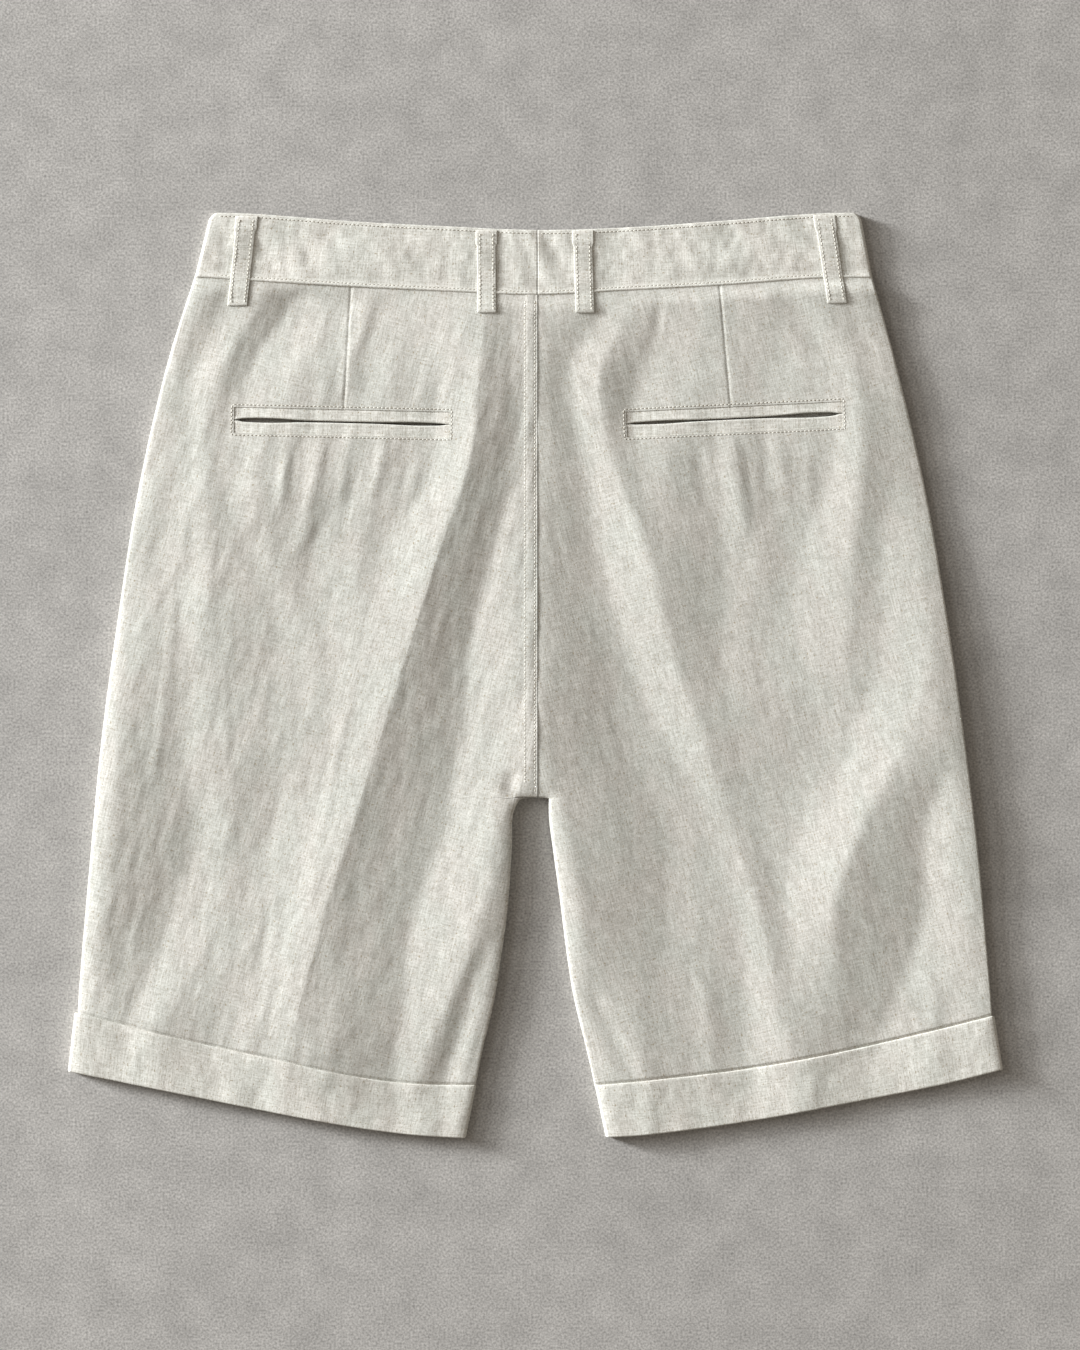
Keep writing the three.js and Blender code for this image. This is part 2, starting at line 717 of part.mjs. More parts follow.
// One welt: a strip of the panel's own points, set a little lower
function welt(pocket, from, to) {
  const upper = [];
  const under = [];
  for (let k = 0; k <= 16; k++) {
    const upperRow = [];
    const underRow = [];
    for (const share of [0, 0.5, 1]) {
      const [x, y] = besideSlit(pocket, k / 16, mix(from, to, share));
      const z = Math.max(backTopZ(pocket.side, x, y) - WELT_SINK, LOWEST_WELT);
      upperRow.push(new THREE.Vector3(x, y, z));
      underRow.push(new THREE.Vector3(x, y, z - WELT_WALL));
    }
    upper.push(upperRow);
    under.push(underRow);
  }
  return wallFromGrids(upper, under);
}

function toManifold(geometry) {
  const bare = geometry.clone();
  bare.deleteAttribute('normal');
  bare.deleteAttribute('uv');
  const merged = mergeVertices(bare, 1e-4);
  return new wasm.Manifold(new wasm.Mesh({
    numProp: 3,
    vertProperties: new Float32Array(merged.attributes.position.array),
    triVerts: new Uint32Array(merged.index.array),
  }));
}

function fromManifold(solid) {
  const mesh = solid.getMesh();
  const geometry = new THREE.BufferGeometry();
  geometry.setAttribute('position', new THREE.BufferAttribute(mesh.vertProperties, 3));
  geometry.setIndex([...mesh.triVerts]);
  return geometry;
}

// Opening in the panel that a pocket's two welts fill
function pocketWindow(pocket) {
  const ends = SEAM_GAP / Math.hypot(pocket.x1 - pocket.x0, pocket.y1 - pocket.y0);
  const outline = new THREE.Shape();
  outline.moveTo(...besideSlit(pocket, -ends, pocket.above + SEAM_GAP));
  outline.lineTo(...besideSlit(pocket, -ends, -pocket.below - SEAM_GAP));
  outline.lineTo(...besideSlit(pocket, 1 + ends, -pocket.below - SEAM_GAP));
  outline.lineTo(...besideSlit(pocket, 1 + ends, pocket.above + SEAM_GAP));
  return new THREE.ExtrudeGeometry(outline, { depth: 20, bevelEnabled: false });
}

function cutPockets(geometry, side) {
  let solid = toManifold(geometry);
  for (const pocket of POCKETS.filter((row) => row.side === side)) {
    solid = solid.subtract(toManifold(pocketWindow(pocket)));
  }
  return fromManifold(solid);
}

const cloth = new THREE.MeshStandardMaterial({ color: CLOTH_COLOUR, roughness: 0.92, metalness: 0 });
const trim = new THREE.MeshStandardMaterial({ color: TRIM_COLOUR, roughness: 0.92, metalness: 0 });

const shorts = new THREE.Group();

function add(name, geometry, material) {
  geometry.computeVertexNormals();
  const mesh = new THREE.Mesh(geometry, material);
  mesh.name = name;
  shorts.add(mesh);
}

for (const side of ['left', 'right']) {
  add(`front_${side}`, frontPanel(side), cloth);
  add(`back_${side}`, cutPockets(backPanel(side), side), cloth);
  add(`waistband_${side}`, waistband(side), trim);
  add(`cuff_${side}`, cuff(side), trim);
}

for (const loop of LOOPS) {
  add(loop.name, beltLoop(loop), trim);
}

for (const pocket of POCKETS) {
  add(`welt_upper_${pocket.side}`, welt(pocket, SLIT_HEIGHT / 2, pocket.above), trim);
  add(`welt_lower_${pocket.side}`, welt(pocket, -SLIT_HEIGHT / 2, -pocket.below), trim);
}

export default shorts;
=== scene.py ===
# %% [markdown]
# # Linen bermuda shorts, laid flat with the back upwards
# The shorts lie on a plain floor and the camera looks straight down on the seat. Everything here is
# cloth, so nearly all of the lesson is about one idea: a cloth that lies flat is a height above the
# floor at each place. Write that height as a function, and panels, loops and stitches can share it.

# %% Load the frame
import math
import bmesh
import bpy
import numpy as np
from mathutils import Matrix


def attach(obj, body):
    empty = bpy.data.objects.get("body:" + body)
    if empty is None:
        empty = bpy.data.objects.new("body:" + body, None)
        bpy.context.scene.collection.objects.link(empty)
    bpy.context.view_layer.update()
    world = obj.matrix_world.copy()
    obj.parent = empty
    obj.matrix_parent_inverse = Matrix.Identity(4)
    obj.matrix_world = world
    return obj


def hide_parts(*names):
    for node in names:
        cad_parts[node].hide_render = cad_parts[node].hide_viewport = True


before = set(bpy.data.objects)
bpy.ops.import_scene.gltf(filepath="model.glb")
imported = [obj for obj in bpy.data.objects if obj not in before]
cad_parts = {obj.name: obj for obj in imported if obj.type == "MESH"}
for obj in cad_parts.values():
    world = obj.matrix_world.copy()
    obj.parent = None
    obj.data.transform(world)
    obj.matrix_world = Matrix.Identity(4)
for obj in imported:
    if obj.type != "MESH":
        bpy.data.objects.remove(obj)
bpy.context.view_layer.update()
MM = 0.001

# %% [markdown]
# ## Camera
# The photograph was taken from straight above, so the camera needs no turning at all: Blender's
# camera looks down -Z when it is unturned. A distance of three metres with a long lens keeps the
# legs from leaning outwards. The lens follows from similar triangles: the long side of the picture
# covers its own number of pixels times the millimetres in each.

# %% Camera
PHOTO_HEIGHT = 1350
MM_PER_PIXEL = 0.65
SENSOR = 36.0
CAMERA_HEIGHT = 3000.0
CLOTH_LEVEL = 5.0
CAMERA_X = 2.9
CAMERA_Y = 0.3


def make_camera():
    """A camera straight above: lens = sensor * height / width of what the long side covers."""
    data = bpy.data.cameras.new("camera")
    data.sensor_width = SENSOR
    data.lens = SENSOR * CAMERA_HEIGHT / (PHOTO_HEIGHT * MM_PER_PIXEL)
    camera = bpy.data.objects.new("camera", data)
    camera.location = (CAMERA_X * MM, CAMERA_Y * MM, (CLOTH_LEVEL + CAMERA_HEIGHT) * MM)
    bpy.context.scene.collection.objects.link(camera)
    bpy.context.scene.camera = camera
    print("lens in mm:", round(data.lens, 1))


make_camera()

# %% [markdown]
# ## Floor and light
# Folds a few millimetres high show only in a raking light. The photograph's comes from a tall window
# on the left and a little towards the top. A tall window throws a shadow that is darkest beside the
# cloth and fades out over 45 mm, because its low part reaches far under an edge and its high part
# does not. Three lamps one above the other do the same: the lowest gives the folds their contrast
# and the higher ones soften the shadow. Warm surroundings fill what none of them reaches. Blender's
# usual view, AgX, flattens bright tones as film does, and pale folds would all but vanish in it, so
# the scene asks for the Standard view, which shows the light as it was computed.

# %% Floor and light
# Metres, as for the lamps, where all else is in millimetres
FLOOR_SIZE = 9.0
FLOOR_COLOUR = (0.392, 0.376, 0.360, 1)
LAMP_DISTANCE = 9.0
LAMP_DIRECTION = 160.0
# The window's three parts: degrees above the floor, size in metres, watts
LAMPS = [
    dict(name="low light", elevation=11.0, size=1.4, power=1720),
    dict(name="middle light", elevation=20.0, size=2.0, power=585),
    dict(name="high light", elevation=42.0, size=3.0, power=142),
]
SURROUNDINGS = (1.0, 0.91, 0.79, 1)
SURROUNDINGS_STRENGTH = 0.29
LAMP_COLOUR = (0.955, 0.985, 1.0)
# Noise keeps mostly between these two values
NOISE_LOW = 0.25
NOISE_HIGH = 0.75
# Clouds and grain of the plaster: spots in a metre, detail, share that they lighten and darken
FLOOR_LAYERS = [
    dict(scale=9.0, detail=5.0, contrast=0.06),
    dict(scale=45.0, detail=5.0, contrast=0.12),
    dict(scale=700.0, detail=3.0, contrast=0.42),
]


def plain_material(name, colour, roughness):
    """A Principled material with one colour and roughness."""
    material = bpy.data.materials.new(name)
    material.use_nodes = True
    shader = material.node_tree.nodes["Principled BSDF"]
    shader.inputs["Base Color"].default_value = colour
    shader.inputs["Roughness"].default_value = roughness
    return material


def map_range(nodes, links, value, low, high, to_low=0.0, to_high=1.0):
    """value moved from the range low..high to the range to_low..to_high."""
    node = nodes.new("ShaderNodeMapRange")
    node.inputs["From Min"].default_value = low
    node.inputs["From Max"].default_value = high
    node.inputs["To Min"].default_value = to_low
    node.inputs["To Max"].default_value = to_high
    links.new(value, node.inputs["Value"])
    return node.outputs["Result"]


def mix_colour(nodes, links, factor, a, b, blend="MIX"):
    """a blended with b by a factor, each of them a plain value or a texture."""
    node = nodes.new("ShaderNodeMix")
    node.data_type = "RGBA"
    node.blend_type = blend
    for socket, value in ((node.inputs[0], factor), (node.inputs[6], a), (node.inputs[7], b)):
        if isinstance(value, (int, float, tuple)):
            socket.default_value = value
        else:
            links.new(value, socket)
    return node.outputs[2]


def floor_material():
    """Smooth plaster: its colour times 1 - contrast to 1 + contrast of each layer of noise."""
    material = plain_material("floor plaster", FLOOR_COLOUR, 0.8)
    nodes, links = material.node_tree.nodes, material.node_tree.links
    place = nodes.new("ShaderNodeTexCoord").outputs["Object"]
    colour = FLOOR_COLOUR
    for layer in FLOOR_LAYERS:
        texture = nodes.new("ShaderNodeTexNoise")
        texture.inputs["Scale"].default_value = layer["scale"]
        texture.inputs["Detail"].default_value = layer["detail"]
        links.new(place, texture.inputs["Vector"])
        darkest, lightest = 1 - layer["contrast"], 1 + layer["contrast"]
        tone = map_range(
            nodes, links, texture.outputs["Fac"], NOISE_LOW, NOISE_HIGH, darkest, lightest
        )
        colour = mix_colour(nodes, links, 1.0, colour, tone, "MULTIPLY")
    links.new(colour, nodes["Principled BSDF"].inputs["Base Color"])
    return material


def make_floor():
    """A square plane centred under the shorts."""
    half = FLOOR_SIZE / 2
    mesh = bpy.data.meshes.new("floor")
    corners = [(-half, -half, 0), (half, -half, 0), (half, half, 0), (-half, half, 0)]
    mesh.from_pydata(corners, [], [(0, 1, 2, 3)])
    mesh.materials.append(floor_material())
    floor = bpy.data.objects.new("floor", mesh)
    bpy.context.scene.collection.objects.link(floor)


def make_lamp(name, elevation, size, power):
    """A square lamp on a sphere round the origin, turned to face it."""
    a, e = math.radians(LAMP_DIRECTION), math.radians(elevation)
    data = bpy.data.lights.new(name, "AREA")
    data.size = size
    data.energy = power
    data.color = LAMP_COLOUR
    lamp = bpy.data.objects.new(name, data)
    way = (math.cos(a) * math.cos(e), math.sin(a) * math.cos(e), math.sin(e))
    lamp.location = [LAMP_DISTANCE * part for part in way]
    lamp.rotation_euler = lamp.location.to_track_quat("Z", "Y").to_euler()
    bpy.context.scene.collection.objects.link(lamp)


def make_surroundings():
    """Warm pale light from all round."""
    world = bpy.data.worlds.new("pale room")
    world.use_nodes = True
    background = world.node_tree.nodes["Background"]
    background.inputs["Color"].default_value = SURROUNDINGS
    background.inputs["Strength"].default_value = SURROUNDINGS_STRENGTH
    bpy.context.scene.world = world


make_floor()
for part in LAMPS:
    make_lamp(**part)
make_surroundings()
bpy.context.scene.view_settings.view_transform = "Standard"
print("lamps at", [part["elevation"] for part in LAMPS], "degrees above the floor")

# %% [markdown]
# ## Undyed linen
# Linen yarn is spun from flax that varies in thickness, so the cloth has slubs: short thick
# stretches of yarn, along the leg and across it, slightly lighter or darker than the rest. Flecks of
# straw stay in undyed yarn. Each is a Noise texture on the cloth's own UV map, in metres, squeezed
# until its spots are long and thin. The same slubs and threads push the surface up in the bump, so
# colour and relief agree. A sheen of short fibres keeps the cloth from looking like paint.

# %% Linen material
YARN_LIGHT = (0.85, 0.84, 0.80)
YARN_DARK = (0.53, 0.517, 0.472)
# Panel tone: partly single cloth letting light through, partly painted shade darkening the legs
# against the trims
SINGLE_CLOTH_AND_SHADE = 0.87
DOUBLED_CLOTH = 0.99
STRAW = (0.34, 0.28, 0.19, 1)
# Slubs, then fine threads, each along the leg and across it: size in mm and share in the weave
YARNS = [
    dict(across=0.95, along=13.0, detail=2.0, place=3.1, share=1.0),
    dict(across=13.0, along=0.95, detail=2.0, place=7.7, share=0.8),
    dict(across=0.85, along=2.0, detail=1.0, place=1.9, share=0.75),
    dict(across=2.0, along=0.85, detail=1.0, place=5.3, share=0.7),
]
# Half the range of the weave that goes from the dark to the light yarn
WEAVE_SPREAD = 0.42
BLOTS = dict(across=5.0, along=9.0, detail=3.0, place=4.6)
BLOT_TONES = [(0.32, (0.91, 0.905, 0.90, 1)), (0.68, (1.0, 1.0, 1.0, 1))]
CLOUDS = dict(across=26.0, along=44.0, detail=3.0, place=2.2)
CLOUD_TONES = [(0.35, (0.962, 0.973, 0.958, 1)), (0.65, (1.0, 0.979, 0.966, 1))]
FLECKS = dict(across=1.3, along=1.9, detail=1.0, place=9.4)
FLECK_TONES = [(0.69, (0, 0, 0, 1)), (0.75, (0.75, 0.75, 0.75, 1))]
BUMP_STRENGTH = 0.3
BUMP_HEIGHT = 0.14


def noise(nodes, links, vector, across, along, detail, place):
    """Noise whose spots are about `across` by `along` mm, on the UV map in metres."""
    mapping = nodes.new("ShaderNodeMapping")
    mapping.inputs["Location"].default_value = (place, place * 2.3, 0)
    mapping.inputs["Scale"].default_value = (1 / (across * MM), 1 / (along * MM), 1)
    texture = nodes.new("ShaderNodeTexNoise")
    texture.noise_dimensions = "2D"
    texture.inputs["Scale"].default_value = 1.0
    texture.inputs["Detail"].default_value = detail
    links.new(vector, mapping.inputs["Vector"])
    links.new(mapping.outputs["Vector"], texture.inputs["Vector"])
    return texture.outputs["Fac"]


def add(nodes, links, a, b, share):
    """a + share * b."""
    node = nodes.new("ShaderNodeMath")
    node.operation = "MULTIPLY_ADD"
    node.inputs[1].default_value = share
    links.new(b, node.inputs[0])
    links.new(a, node.inputs[2])
    return node.outputs[0]


def ramp(nodes, links, value, stops):
    """Colours at places from 0 to 1, blended in between."""
    node = nodes.new("ShaderNodeValToRGB")
    elements = node.color_ramp.elements
    while len(elements) < len(stops):
        elements.new(0.5)
    for element, (position, colour) in zip(elements, stops):
        element.position = position
        element.color = colour
    links.new(value, node.inputs["Fac"])
    return node.outputs["Color"]


def linen(name, tone):
    """Undyed linen: slubs both ways, fine threads, cloudy patches and flecks of straw.

    The tone multiplies the yarn's colours: single cloth lets some light through and is darker, and
    the panels' lower tone is also painted shade for the weaker fill and self-shadowing on the legs.
    """
    light = tuple(tone * part for part in YARN_LIGHT) + (1,)
    dark = tuple(tone * part for part in YARN_DARK) + (1,)
    material = bpy.data.materials.new(name)
    material.use_nodes = True
    nodes, links = material.node_tree.nodes, material.node_tree.links
    shader = nodes["Principled BSDF"]
    uv = nodes.new("ShaderNodeUVMap")
    uv.uv_map = "cloth"
    cloth = uv.outputs["UV"]
    weave = None
    for yarn in YARNS:
        size = {name: value for name, value in yarn.items() if name != "share"}
        threads = noise(nodes, links, cloth, **size)
        weave = threads if weave is None else add(nodes, links, weave, threads, yarn["share"])
    middle = 0.5 * sum(yarn["share"] for yarn in YARNS)
    scaled = map_range(nodes, links, weave, middle - WEAVE_SPREAD, middle + WEAVE_SPREAD)
    colour = ramp(nodes, links, scaled, [(0, dark), (1, light)])
    for spots, tones in ((BLOTS, BLOT_TONES), (CLOUDS, CLOUD_TONES)):
        tint = ramp(nodes, links, noise(nodes, links, cloth, **spots), tones)
        colour = mix_colour(nodes, links, 1.0, colour, tint, "MULTIPLY")
    straw = ramp(nodes, links, noise(nodes, links, cloth, **FLECKS), FLECK_TONES)
    colour = mix_colour(nodes, links, straw, colour, STRAW)
    links.new(colour, shader.inputs["Base Color"])
    shader.inputs["Roughness"].default_value = 0.95
    shader.inputs["Specular IOR Level"].default_value = 0.2
    shader.inputs["Sheen Weight"].default_value = 0.08
    shader.inputs["Sheen Roughness"].default_value = 0.5
    bump = nodes.new("ShaderNodeBump")
    bump.inputs["Strength"].default_value = BUMP_STRENGTH
    bump.inputs["Distance"].default_value = BUMP_HEIGHT * MM
    links.new(weave, bump.inputs["Height"])
    links.new(bump.outputs["Normal"], shader.inputs["Normal"])
    return material


# The panels take the darker tone: partly thinner cloth, partly painted shade
PANEL_LINEN_SHADED = linen("linen panels with painted shade", SINGLE_CLOTH_AND_SHADE)
TRIM_LINEN = linen("linen trims", DOUBLED_CLOTH)
THREAD = plain_material("sewing thread", (0.76, 0.73, 0.66, 1), 0.7)
# Painted shade: a dark flat disc stands for the shadow inside each needle hole
NEEDLE_HOLE_SHADE = plain_material("needle hole", (0.22, 0.19, 0.15, 1), 0.9)
print("materials:", [m.name for m in (PANEL_LINEN_SHADED, TRIM_LINEN, THREAD, NEEDLE_HOLE_SHADE)])

# %% [markdown]
# ## Outline of the shorts
# A pattern cutter draws an outline through a few measured points with a curved ruler. `curve` is
# that ruler: it passes through a table's rows, and between two rows it is a cubic whose slope at
# each row is the slope between that row's neighbours. All tables are in millimetres, in the frame's
# own axes, with the waist upwards.

# %% Curves and outline tables
SEAM_GAP = 0.3
BACK_SEAM_X = 1.3
CROTCH_Y = -79.3

# Waistband: x, top edge, seam with the panels
WAIST = np.array([
    [-221, 301.0, 259.0], [-185, 300.2, 256.4], [-120, 295.3, 252.5], [-60, 292.1, 249.6],
    [1, 289.6, 247.3], [60, 291.3, 250.2], [120, 295.4, 253.4], [185, 300.4, 258.1],
    [221, 300.6, 258.5],
])
# Outer edge of a leg: y, x
OUTER_EDGE = {
    "left": np.array([
        [260, -221.3], [200, -240.0], [120, -258.2], [40, -270.9], [-40, -281.8], [-120, -289.4],
        [-200, -296.2], [-222, -297.4],
    ]),
    "right": np.array([
        [260, 218.8], [200, 235.2], [120, 253.8], [40, 267.5], [-40, 278.8], [-120, 288.3],
        [-200, 295.4], [-222, 297.0],
    ]),
}
# Inner edge of a leg: y, x
INNER_EDGE = {
    "left": np.array([
        [-79, -9.4], [-90, -14.6], [-113, -15.4], [-152, -18.2], [-182, -22.2], [-211, -26.8],
        [-242, -34.0], [-268, -39.2],
    ]),
    "right": np.array([
        [-79, 8.4], [-94, 8.9], [-113, 11.4], [-152, 16.8], [-182, 20.6], [-211, 25.4],
        [-242, 33.1], [-268, 38.9],
    ]),
}
# Cuff: x, top edge, hem
CUFF = {
    "left": np.array([
        [-304, -217.4, -257.2], [-227, -236.9, -272.7], [-172, -248.6, -283.7],
        [-119, -260.2, -293.4], [-80, -265.3, -298.6], [-38, -266.4, -301.2],
    ]),
    "right": np.array([
        [38, -266.4, -300.6], [73, -263.2, -298.5], [138, -255.6, -289.9], [206, -243.2, -277.5],
        [264, -229.6, -266.0], [304, -219.2, -256.0],
    ]),
}
SIDES = ("left", "right")
SIGN = {"left": -1, "right": 1}


def curve(places, values, at):
    """Cubic through rows: p + rise*t + t(1-t)(a(1-t) + bt), straight on past both ends."""
    places, values = np.asarray(places, float), np.asarray(values, float)
    order = np.argsort(places)
    places, values = places[order], values[order]
    before = np.maximum(np.arange(len(places)) - 1, 0)
    after = np.minimum(np.arange(len(places)) + 1, len(places) - 1)
    slope = (values[after] - values[before]) / (places[after] - places[before])
    i = np.clip(np.searchsorted(places, at) - 1, 0, len(places) - 2)
    span = places[i + 1] - places[i]
    t = np.clip((at - places[i]) / span, 0, 1)
    rise = values[i + 1] - values[i]
    bend = (slope[i] * span - rise) * (1 - t) + (rise - slope[i + 1] * span) * t
    past = np.minimum(at - places[0], 0) * slope[0] + np.maximum(at - places[-1], 0) * slope[-1]
    return values[i] + rise * t + t * (1 - t) * bend + past


def ease(t):
    """Smooth step: 3t^2 - 2t^3, flat at 0 and 1."""
    s = np.clip(t, 0, 1)
    return s * s * (3 - 2 * s)


def seam_y(x):
    """y of the seam between the waistband and the panels."""
    return curve(WAIST[:, 0], WAIST[:, 2], x)


def waist_top_y(x):
    """y of the waistband's upper edge."""
    return curve(WAIST[:, 0], WAIST[:, 1], x)


def cuff_top_y(side, x):
    """y of the cuff's upper edge."""
    return curve(CUFF[side][:, 0], CUFF[side][:, 1], x)


def hem_y(side, x):
    """y of the hem, the cuff's lower edge."""
    return curve(CUFF[side][:, 0], CUFF[side][:, 2], x)


def outer_x(side, y):
    """x of the leg's outer edge."""
    return curve(*OUTER_EDGE[side].T, y)


def inner_x(side, y):
    """x of the leg's inner edge, below the crotch."""
    return curve(*INNER_EDGE[side].T, y)


print("legs at the hem are", round(float(outer_x("right", -222) - inner_x("right", -268))), "mm wide")

# %% [markdown]
# ## Folds of the back
# The legs were pressed along a centre crease and then laid down by hand, so long soft folds run from
# the waist to the hem. They could come from a cloth simulation, but its folds fall where they like.
# Across a leg, laid cloth is a chain of nearly straight flanks, each leaning a few percent left or
# right, with rounded corners where two flanks meet. In a low light from the left a flank that climbs
# to the right is bright and one that falls is dark, so the lean can be judged from its brightness.
# Each row below is one flank: where it starts and how much it leans, at nine levels from waist to hem.

# %% Main folds
LEVELS = np.array([240, 195, 140, 80, 20, -40, -100, -160, -235])
LOWEST_BACK = 2.9
MIDDLE_BACK = 6.7
CLOSEST_CORNERS = 1.0

# y between which the tables of levels are read, just past their ends
CREASE_ENDS = (-270, 262)
FOLD_ENDS = (-265, 255)
# Half width of a rounded corner, where a flank doesn't name its own
CORNER = 4.5

# Flanks from left to right: x of the start, lean in percent, half width of the corner at the start
FLANKS = {
    "left": [
        dict(x=[-218, -236, -245, -251, -260, -269, -275, -282, -290],
             lean=[-8, -6.5, -4, -1.5, -2.6, -7, -9.8, -10.9, -5]),
        dict(x=[-203, -223, -229, -242, -229, -229, -222, -238, -271],
             lean=[4, 11.6, 10.9, 8.6, 5.2, 4.9, 4.1, 2.6, 7.1]),
        dict(x=[-181, -205, -216, -212, -212, -211, -199, -206, -249],
             lean=[-13, -10, -5.2, -2, -5, -2.6, -5.2, -1.5, -8]),
        dict(x=[-159, -187, -204, -186, -163, -162, -168, -188, -210],
             lean=[4.9, 6.8, 4.9, 4.1, 4.9, 0.4, 7.1, 0.8, 3.5]),
        dict(x=[-128, -156, -182, -171, -147, -148, -152, -170, -178],
             lean=[3.4, -0.4, -0.4, -6, -0.4, 1.1, 8.6, 7.9, 4.5]),
        dict(x=[-98, -110, -112, -143, -134, -133, -145, -160, -172],
             lean=[3.5, 3, 2.2, 4.9, 6.4, 6.4, 7.9, 9.8, 8]),
        dict(x=[-84, -93, -100, -116, -120, -124, -135, -150, -167],
             lean=[4, 0.4, -0.8, -3.4, 7.9, 6.4, 7.9, 8.6, 9]),
        dict(x=[-70, -66, -66, -100, -108, -114, -130, -146, -164],
             lean=[4, 10.5, 14, 10.9, 7.9, 7.1, 6.4, 8.2, 9.5], corner=5),
        dict(name="crease", x=[-32, -37, -43, -63, -82, -101, -120, -138.5, -159],
             lean=[-6, -10.9, -12.7, -12.4, -12.7, -12.4, -12, -11.6, -4.1], corner=1.6),
        dict(x=[-27, -30, -34, -52, -65, -78, -95, -110, -129],
             lean=[-6, -11.6, -14.6, -14.6, -12.7, -10.9, -8.6, -10.1, -11.6], corner=5),
        dict(x=[-13, -12, -15, -28, -42, -47, -59, -79, -88],
             lean=[3, 2.2, 1.1, 6.4, 9, 7.9, 9.4, 9, 7.9], corner=5),
        dict(x=[-3, -3, -5, -14, -15, -8, -24, -36, -66],
             lean=[0.4, 0.4, -1.5, 1.5, 1.1, 2.2, -4, -8, -10.9], corner=4),
        dict(x=[0, 0, 0, 0, 0, 0, -12, -28, -52],
             lean=[0, 0, 0, 0, 0, 0, -6, -6, 2], corner=4),
    ],
    "right": [
        dict(x=[-10, -10, -10, -10, -10, -10, -6, -2, 10],
             lean=[1.5, -1, 0, -5, -3, -5, 0, 0, 0], corner=4),
        dict(x=[12, 6, 10, 6, 10, 5, 17, 31, 33],
             lean=[-0.4, -10.9, -9, -10.9, -12.7, -14.6, -14.6, -13.2, 1.5], corner=4),
        dict(x=[26, 14, 20, 22, 28, 32, 44, 60, 68],
             lean=[-3.4, -10, -9.4, -11.6, -13.9, -16.4, -17, -14.6, -10.5], corner=5),
        dict(x=[34, 18, 26, 36, 42, 57, 84, 84, 84],
             lean=[-5, -5, -1.5, -5, -8, -8, -8.6, -6, -6]),
        dict(x=[45, 23, 34, 43, 57, 82, 116, 132, 137],
             lean=[4.1, 11.6, 12.4, 11.6, 8.6, 6.4, -1.5, 6, 9.8]),
        dict(name="crease", x=[62, 42.5, 50, 74, 88, 109.5, 129.5, 147, 163],
             lean=[2, -11, -7, -9, -9.8, -9.4, -11.2, -11.5, -3], corner=3.5),
        dict(x=[90, 68, 64, 84, 94, 116, 136, 150, 164.5],
             lean=[3.4, 4.1, 3, -9.2, -9.8, -9.4, -11.2, -11.5, -3], corner=5),
        dict(x=[108, 100, 88, 92, 104, 122, 142, 153, 165.5],
             lean=[3.4, 1, -5, -9.4, -9.8, -9.4, -11.2, -11.5, -3], corner=5),
        dict(x=[118, 128, 112, 121, 123, 130, 150, 157, 167],
             lean=[0.4, -1.5, 2, 0.4, -0.4, -6.4, -8, -8, -4], corner=5),
        dict(x=[126, 139, 128, 148, 142, 146, 160, 162, 170],
             lean=[0.4, -1.5, -2.6, -7.1, -3.4, -7.1, -4.5, 0, -5], corner=5),
        dict(x=[152, 152, 151, 164, 158, 164, 164, 165, 172],
             lean=[-3.4, 3, 0.4, -1.5, 1.5, -5.6, -1.5, 6, -6]),
        dict(x=[168, 193, 193, 173, 174, 183, 172, 168, 178],
             lean=[7.9, 9, 12.4, 7.5, 4.9, -1.1, 4.1, 7.9, -6.4]),
        dict(x=[187, 208, 212, 206, 202, 198, 180, 174, 186],
             lean=[-2.2, -6.4, -8.2, -7.9, -2.2, -1.1, 7.1, 7.9, -10]),
        dict(x=[205, 221, 233, 224, 226, 206, 188, 182, 200],
             lean=[4.1, 4.1, -0.4, 3.4, 6.8, 8.2, 7.9, 7.9, -13]),
        dict(x=[213, 228, 242, 247, 257, 241, 211, 193, 208],
             lean=[-1.5, -1.5, -3.4, 0.4, -1.5, -1.1, -10.9, -12, -10], corner=3.5),
        dict(x=[216, 232, 246, 253, 261, 256, 222, 208, 216],
             lean=[-3, -3, -7, -1.5, -4, -6, -12.7, -12.7, -5.2], corner=5),
        dict(x=[219, 236, 249, 258, 265, 270, 254, 252, 226],
             lean=[-3, -3, -7, -3, -5, -7, 7.9, 7.1, 4.9]),
        dict(x=[221, 238, 251, 261, 268, 276, 270, 274, 257],
             lean=[-3, -3, -7, -3, -5, -7, 2, 6, -2], corner=4),
        dict(x=[223, 240, 253, 263, 270, 279, 280, 282, 268],
             lean=[-3, -3, -7, -3, -5, -7, -3, -2, 11], corner=4),
    ],
}
# Where the two backs meet, or each inner leg below the crotch: x and rise at the levels
PIVOT = {
    "left": [1, 1, 1, 1, 1, -2, -16, -20, -34],
    "right": [1, 1, 1, 1, 1, 5, 12, 17, 32],
}
PIVOT_RISE = {
    "left": [1.7, 1.3, 0.5, 1.3, 2.7, 3.4, 3.2, 2.2, 0.5],
    "right": [1.7, 1.3, 0.5, 1.3, 2.7, 3.4, 3.4, 2.8, 0.8],
}
# Added to every lean of a leg, so that its outer edge ends at a fair height
LEVELLING = {
    "left": [0, 0, 0, 0, 0.2, 1.5, 2.3, 1.8, 0.9],
    "right": [-1, -0.8, 0, 1.2, 1.4, 4.4, 6.6, 4.4, 1.2],
}


def crease_x(side, y):
    """x of the pressed crease."""
    line = next(flank for flank in FLANKS[side] if flank.get("name") == "crease")
    return curve(LEVELS, line["x"], np.clip(y, *CREASE_ENDS))


def soft_ramp(distance, corner):
    """0 before the corner, the distance after it, and (d + c)^2 / 4c within c of it."""
    d = np.clip(distance, -corner, corner)
    return (d + corner) ** 2 / (4 * corner) + np.maximum(distance - corner, 0)


